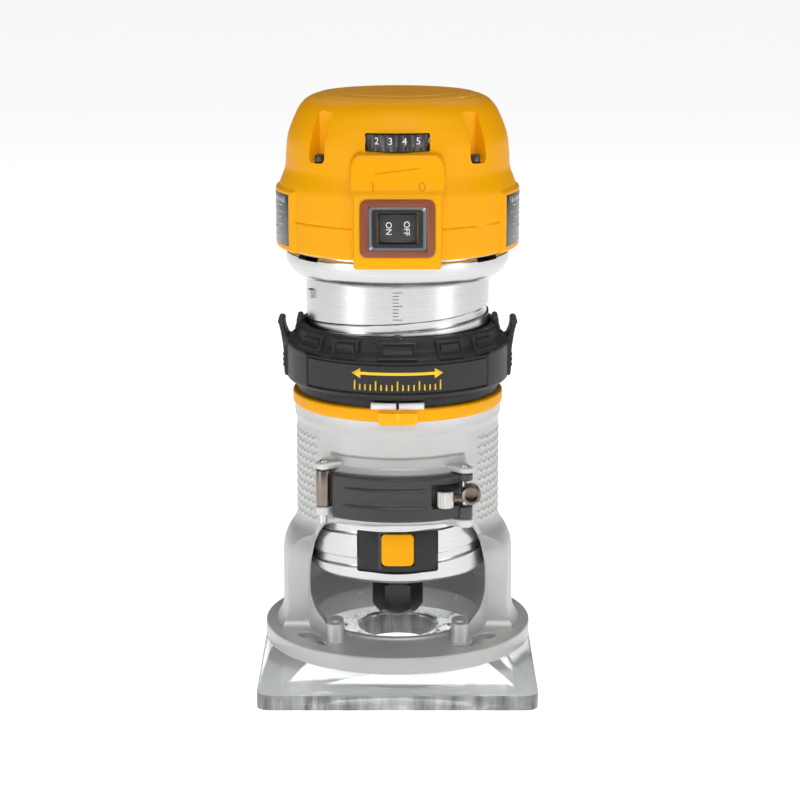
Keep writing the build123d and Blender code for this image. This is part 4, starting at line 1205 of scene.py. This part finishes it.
# %% Zero ring
zero = turned("yellow_zero_ring", [
    (35.45, ZERO_LOW + 0.02), (39.0, ZERO_LOW + 0.02), (39.3, ZERO_LOW + 0.7), (39.9, ZERO_LOW + 1.1),
    (39.9, ZERO_TOP - 1.4), (39.3, ZERO_TOP - 1.0), (35.45, ZERO_TOP - 1.0)],
              [0.2, 0.3, 0.3, 0.5, 0.5, 0.3, 0.2], steps=200)
tongue_x = np.linspace(-6.9, 6.9, 13)
drop = 0.5 * (np.abs(tongue_x) > 6.5)
tongue = strip("tongue", tongue_x, 98.6 + drop, np.full(13, 103.2), 39.6, 1.9, 0.0)
carve(zero, tongue, operation="UNION")
shade(zero, 30)
finish(zero, "zero_ring", YELLOW, "yellow_plastic", "zero_ring")
pads = []
for start, end in ((-9.6, -0.5), (0.5, 9.6)):
    pads.append(strip("pad", np.linspace(start, end, 8), [ZERO_TOP - 1.0] * 8, [106.6] * 8, 39.0, 1.15, 0.6))
finish(joined("white_pads", pads), "zero_ring", WHITE, "white_plastic", "index_pads")


# %% [markdown]
# ## The clamp lever
# A curved plate over the sleeve: its skin carries two shallow grooves for the finger, and a
# window near the hinge shows the barrel of the tension screw.

# %% Lever plate
def lever_plate():
    """Curved plate as a grid across and along, closed by its inner face."""
    start, end = -0.622, 0.610
    turns = np.concatenate([[start, start + 0.004, start + 0.010], np.linspace(start + 0.02, end - 0.02, 60),
                            [end - 0.010, end - 0.004, end]])
    end_fall = np.array([1.1, 0.45, 0.12] + [0.0] * 60 + [0.12, 0.45, 1.1])
    bottom, top = 61.8, 78.7
    z = np.concatenate([[bottom, bottom + 0.12, bottom + 0.5], np.linspace(bottom + 1.0, top - 1.0, 56),
                        [top - 0.5, top - 0.12, top]])
    edge_fall = np.array([1.0, 0.5, 0.12] + [0.0] * 56 + [0.12, 0.5, 1.0])
    along = step_up(turns, -0.50, 0.03) * step_up(-turns, -0.26, 0.03)
    grooves = sum(np.exp(-((z - level) / 0.42) ** 2) for level in (67.6, 74.2))
    dish = 0.35 * step_up(turns, -0.56, 0.1) * step_up(-turns, -0.3, 0.1)
    fall = edge_fall[None] + end_fall[:, None] + 0.6 * along[:, None] * grooves[None]
    fall = fall + dish[:, None] * np.clip(1 - np.abs(z - 70.2) / 7.5, 0, 1)[None]
    outer = around((42.2 - fall), z[None] + 0 * turns[:, None], (turns + FRONT)[:, None])
    inner = around(38.8 + 0 * fall[:, ::-1], z[None, ::-1] + 0 * turns[:, None], (turns + FRONT)[:, None])
    return grid_piece("grey_lever", np.concatenate([outer, inner], axis=1)[::-1], cap=True)


lever = lever_plate()
window_lever = outline_box(6.4, 4.4, 0.5)
carve(lever, punch(window_lever + [19.2, 71.2], [30.0, 38.0, 42.6], [0, 0, 0.6], to_front(0, 0)))
carve(lever, punch(outline_box(2.0, 5.2, 0.4) + [26.0, 71.3], [28.0, 42.6], [0, 0.2], to_front(0, 0)))
for z0, z1 in ((61.8, 66.4), (76.2, 78.7)):
    carve(lever, block(circle(2.9, 32, *LEVER_PIN), z0, z1, 0.3, upright), operation="UNION")
# A black sheet behind the lever's window is painted shade, to keep the window dark.
shade_sheet_x = np.linspace(12.4, 26.4, 8)
window_shade_sheet = strip("lever_window_painted_shade", shade_sheet_x, [66.2] * 8, [76.4] * 8, 38.6, 0.14, 0.05)
finish(window_shade_sheet, "clamp", BLACK, "grey_plastic")
shade(lever, 34)
finish(lever, "clamp", GREY, "grey_plastic", "clamp_lever")


# %% [markdown]
# The barrel of the tension screw shows through the lever's window: its radius swells and sinks
# eighteen times a turn.

# %% Ribbed barrel
barrel_turn = np.linspace(0, 2 * math.pi, 144, endpoint=False)[None]
barrel_rows = rounded([(0.02, 67.2), (2.95, 67.2), (2.95, 73.6), (0.02, 73.6)], [0, 0.5, 0.5, 0],
                      closed=False)
barrel_r = barrel_rows[:, :1] + 0.13 * np.cos(18 * barrel_turn) * (barrel_rows[:, :1] > 2.9)
barrel = around(barrel_r, barrel_rows[:, 1:], barrel_turn) + [17.6, -39.3, 0.0]
finish(shade(grid_piece("tension_barrel", barrel, cap=True), 45), "clamp", STEEL, "steel", "clamp_roller")


# %% [markdown]
# ## Pieces that keep their CAD shape
# Screws, pins, the nut, the switch and the button already have the right shape. They get
# softened edges and their own finish, from one list. The button's spring gets a mesh of its own.

# %% Softened CAD pieces
SOFTENED = [
    ("clear_sole", "sub_base", 0.5, CLEAR, "clear_polycarbonate"),
    ("sole_screws", "sub_base_screws", 0.12, STEEL, "steel"),
    ("lever_pin", "clamp_pivot_pin", 0.0, STEEL, "steel"),
    ("anchor_pin", "clamp_anchor_pin", 0.0, STEEL, "steel"),
    ("strap_loop", "clamp_strap", 0.15, STRIP, "spring_steel"),
    ("tension_nut", "clamp_nut", 0.25, STRIP, "spring_steel"),
    ("hinge_pins", "tab_pins", 0.0, STEEL, "steel"),
    ("spanner_nut", "collet_nut", 0.25, BLACK_STEEL, "black_steel"),
    ("collet_jaws", "collet", 0.1, STEEL, "steel"),
    ("lock_frame", "lock_plate", 0.25, BLACK, "black_plastic"),
    ("thumb_button", "lock_button", 0.5, YELLOW, "yellow_plastic"),
    ("vent_screws", "cap_screws", 0.12, BLACK_STEEL, "steel"),
    ("plain_labels", "label_plates", 0.12, LABEL, "label_black"),
    ("switch_gasket", "switch_boot", 0.7, RUBBER, "rubber_boot"),
    ("switch_housing", "switch_body", 0.5, BLACK, "black_plastic"),
    ("switch_rocker", "rocker", 0.4, BLACK, "black_plastic"),
    ("speed_wheel", "speed_dial", 0.15, BLACK, "black_plastic"),
    ("cord_gland", "cord_inlet", 0.4, BLACK, "black_plastic"),
    ("nose_cover", "nose_plate", 0.2, BLACK, "black_plastic"),
    ("button_spring", "lock_spring", 0.0, STEEL, "steel"),
]
for name, node, width, material, slot in SOFTENED:
    soften(name, node, width, material, slot)
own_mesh(bpy.data.objects["button_spring"])

# %% [markdown]
# The rocker sits in a frame whose slopes fall inwards, made of rounded rectangles. Its grey is a painted
# reflection.

# %% Bevelled bezel round the rocker
def bezel():
    """Rings of rounded rectangles: each has its own half width, half height and depth."""
    steps = [(10.25, 7.75, 47.9), (10.25, 7.75, 48.5), (9.9, 7.4, 48.75), (9.5, 7.0, 48.75),
             (8.0, 6.1, 47.3), (7.2, 5.5, 46.9), (7.2, 5.5, 45.6), (10.25, 7.75, 45.6)]
    rings = []
    for half_wide, half_high, depth in steps:
        shape = outline_box(half_wide, half_high, 1.0 if half_wide > 8 else 0.4)
        rings.append(np.stack([shape[:, 0], 0 * shape[:, 0] - depth, SWITCH_Z + shape[:, 1]], -1))
    return clean(grid_piece("switch_bezel", np.array(rings)[::-1], wrap_rows=True))


# The bezel's grey, lighter than the black housing, is a painted reflection of the clear boot.
finish(shade(bezel(), 20), "motor", REFLECTION_AND_PRINT_GREY, "black_plastic")

# %% [markdown]
# The labels stay blank: bars of different lengths stand for lines of print.

# %% Plain bars on the two labels
LABEL_BARS = [(40, 2.6), (34, 0.6), (38, 0.6), (30, 0.6), (36, 0.6), (20, 1.8), (34, 0.6)]


def label_bars(side):
    """Thin blank bars, each a strip at its own height; side is +1 right, -1 left."""
    bars = []
    for n, (wide, tall) in enumerate(LABEL_BARS):
        z = 178.6 - 2.35 * n
        s = np.linspace(-wide / 2, wide / 2, 17) + side * math.pi / 2 * LABEL_R
        bars.append(strip("bar", s, [z - tall / 2] * 17, [z + tall / 2] * 17, LABEL_R, 0.02, 0.02))
    return bars


finish(joined("label_lines", label_bars(1) + label_bars(-1)), "motor", REFLECTION_AND_PRINT_GREY, "label_black")

# %% [markdown]
# Pieces inside the motor keep their CAD mesh and get a finish only.

# %% Finishes of the inner pieces
INNER = {
    "guide_key": STEEL, "tab_springs": STEEL, "bearing_plate": CAST, "lower_bearing": STEEL,
    "upper_bearing": STEEL, "bearing_bridge": BLACK, "stator_core": LAMINATED, "field_windings": COPPER,
    "brush_holders": BRASS, "carbon_brushes": BLACK, "brush_springs": STEEL, "lock_guide": BLACK,
    "spindle": STEEL, "cooling_fan": BLACK, "armature_core": LAMINATED,
    "armature_windings": COPPER, "commutator": COPPER, "rocker_pin": STEEL,
    "speed_potentiometer": GREY, "control_board": BOARD,
}
for node, material in INNER.items():
    mesh = frame["nodes"][node].data
    mesh.materials.clear()
    mesh.materials.append(material)
print("inner pieces finished:", len(INNER))


# %% [markdown]
# ## Lettering
# ON and OFF stand upright on the rocker, and the speed wheel's rim carries numbers. Text is
# made a mesh first, and then laid on its surface.

# %% Legends
def letters(text, size, thick=0.06):
    """Text as a mesh centred on the origin in the XY plane, in millimetres."""
    curve = bpy.data.curves.new("text", "FONT")
    curve.body = text
    curve.size = size * MM
    curve.extrude = thick * MM
    curve.align_x = "CENTER"
    curve.align_y = "CENTER"
    holder = placed("text", curve)
    bpy.context.view_layer.update()
    mesh = bpy.data.meshes.new_from_object(holder.evaluated_get(bpy.context.evaluated_depsgraph_get()))
    bpy.data.objects.remove(holder)
    return clean(placed("letters", mesh))


def lay(piece, mapping):
    """Move every vertex by a function of (x, y, z) arrays in millimetres."""
    mesh = piece.data
    flat = np.empty(len(mesh.vertices) * 3, np.float32)
    mesh.vertices.foreach_get("co", flat)
    points = mapping(*(flat.reshape(-1, 3) / MM).T) * MM
    mesh.vertices.foreach_set("co", points.astype(np.float32).ravel())
    mesh.update()
    return piece


def rocker_face(x):
    """The rocker's two slopes."""
    return -48.0 + np.abs(x) * (1.0 / 6.8)


legends = []
for text, x in (("ON", -3.2), ("OFF", 3.2)):
    legend = letters(text, 3.0)
    lay(legend, lambda u, v, w, x=x: np.stack([x + v, rocker_face(x + v) - 0.02 - w, SWITCH_Z - u], -1))
    legends.append(legend)
finish(joined("rocker_legend", legends), "rocker", WHITE, "white_plastic")

numbers = []
wheel_r = high("speed_dial")[0]
wheel_y = (low("speed_dial")[1] + high("speed_dial")[1]) / 2
for n in range(6):
    number = letters(str(n + 1), 3.6)
    centre = FRONT + (n - 2.5) * 0.30
    lay(number, lambda u, v, w, c=centre: np.stack([
        (wheel_r + w) * np.cos(c + u / wheel_r), wheel_y + (wheel_r + w) * np.sin(c + u / wheel_r),
        202.3 + v], -1))
    numbers.append(number)
finish(joined("wheel_numbers", numbers), "speed_dial", WHITE, "white_plastic")


# %% [markdown]
# ## Floor, light and camera
# A pale floor, a tall soft light on each side, one large light from above and in front, and a
# weaker one from behind.

# %% Floor
floor_mesh = bpy.data.meshes.new("floor")
REACH, UNDER = 6.0, -0.0003
floor_mesh.from_pydata([(-REACH, -REACH, UNDER), (REACH, -REACH, UNDER), (REACH, REACH, UNDER),
                        (-REACH, REACH, UNDER)], [], [(0, 1, 2, 3)])
floor = placed("floor", floor_mesh)
floor_paint = bpy.data.materials.new("pale_floor")
floor_paint.use_nodes = True
floor_inputs = floor_paint.node_tree.nodes["Principled BSDF"].inputs
floor_inputs["Base Color"].default_value = (0.93, 0.93, 0.93, 1)
floor_inputs["Roughness"].default_value = 0.7
floor_inputs["Emission Color"].default_value = (1, 1, 1, 1)
floor_inputs["Emission Strength"].default_value = 0.90
floor_mesh.materials.append(floor_paint)
print("floor", 2 * REACH, "m wide")


# %% [markdown]
# The world is brighter in upright bands: its strength is a mean plus a cosine of the direction's
# X. The bands show as soft stripes on the turned metal.

# %% Lights
def soft_light(name, place, aim, wide, tall, power):
    """Area light at a place, turned to its aim."""
    data = bpy.data.lights.new(name, "AREA")
    data.shape = "RECTANGLE"
    data.size, data.size_y = wide, tall
    data.energy = power
    lamp = placed(name, data)
    lamp.location = place
    lamp.rotation_euler = (Vector(aim) - Vector(place)).to_track_quat("-Z", "Y").to_euler()
    return lamp


middle = (0, 0, 0.11)
soft_light("left_panel", (-0.75, -0.55, 0.35), middle, 0.35, 0.9, 2.6)
soft_light("right_panel", (0.80, -0.45, 0.35), middle, 0.35, 0.9, 2.2)
soft_light("front_top", (0.1, -0.9, 1.1), middle, 0.9, 0.7, 8.0)
soft_light("rear_top", (0.0, 0.8, 1.0), middle, 1.2, 0.5, 2.5)
world = bpy.data.worlds.new("studio")
world.use_nodes = True
sky = world.node_tree
toward = sky.nodes.new("ShaderNodeSeparateXYZ")
sky.links.new(sky.nodes.new("ShaderNodeTexCoord").outputs["Generated"], toward.inputs[0])
panels = sums(sky, "COSINE", sums(sky, "MULTIPLY_ADD", toward.outputs["X"], 9.0, 0.5), 0.0)
sky.links.new(sums(sky, "MULTIPLY_ADD", panels, 0.28, 0.64), sky.nodes["Background"].inputs["Strength"])
bpy.context.scene.world = world
bpy.context.scene.view_settings.view_transform = "Standard"
print("lights:", len(bpy.data.lights))

# %% [markdown]
# The camera stands 0.85 m in front and looks 13 degrees down.

# %% Camera
camera_data = bpy.data.cameras.new("camera")
camera_data.lens = 102.6
camera_data.sensor_width = 36.0
camera = placed("camera", camera_data)
camera.location = (0.0009, -0.850, 0.295)
camera.rotation_euler = (math.radians(77.0), 0, 0)
bpy.context.scene.camera = camera
print("camera at", tuple(round(c, 3) for c in camera.location))
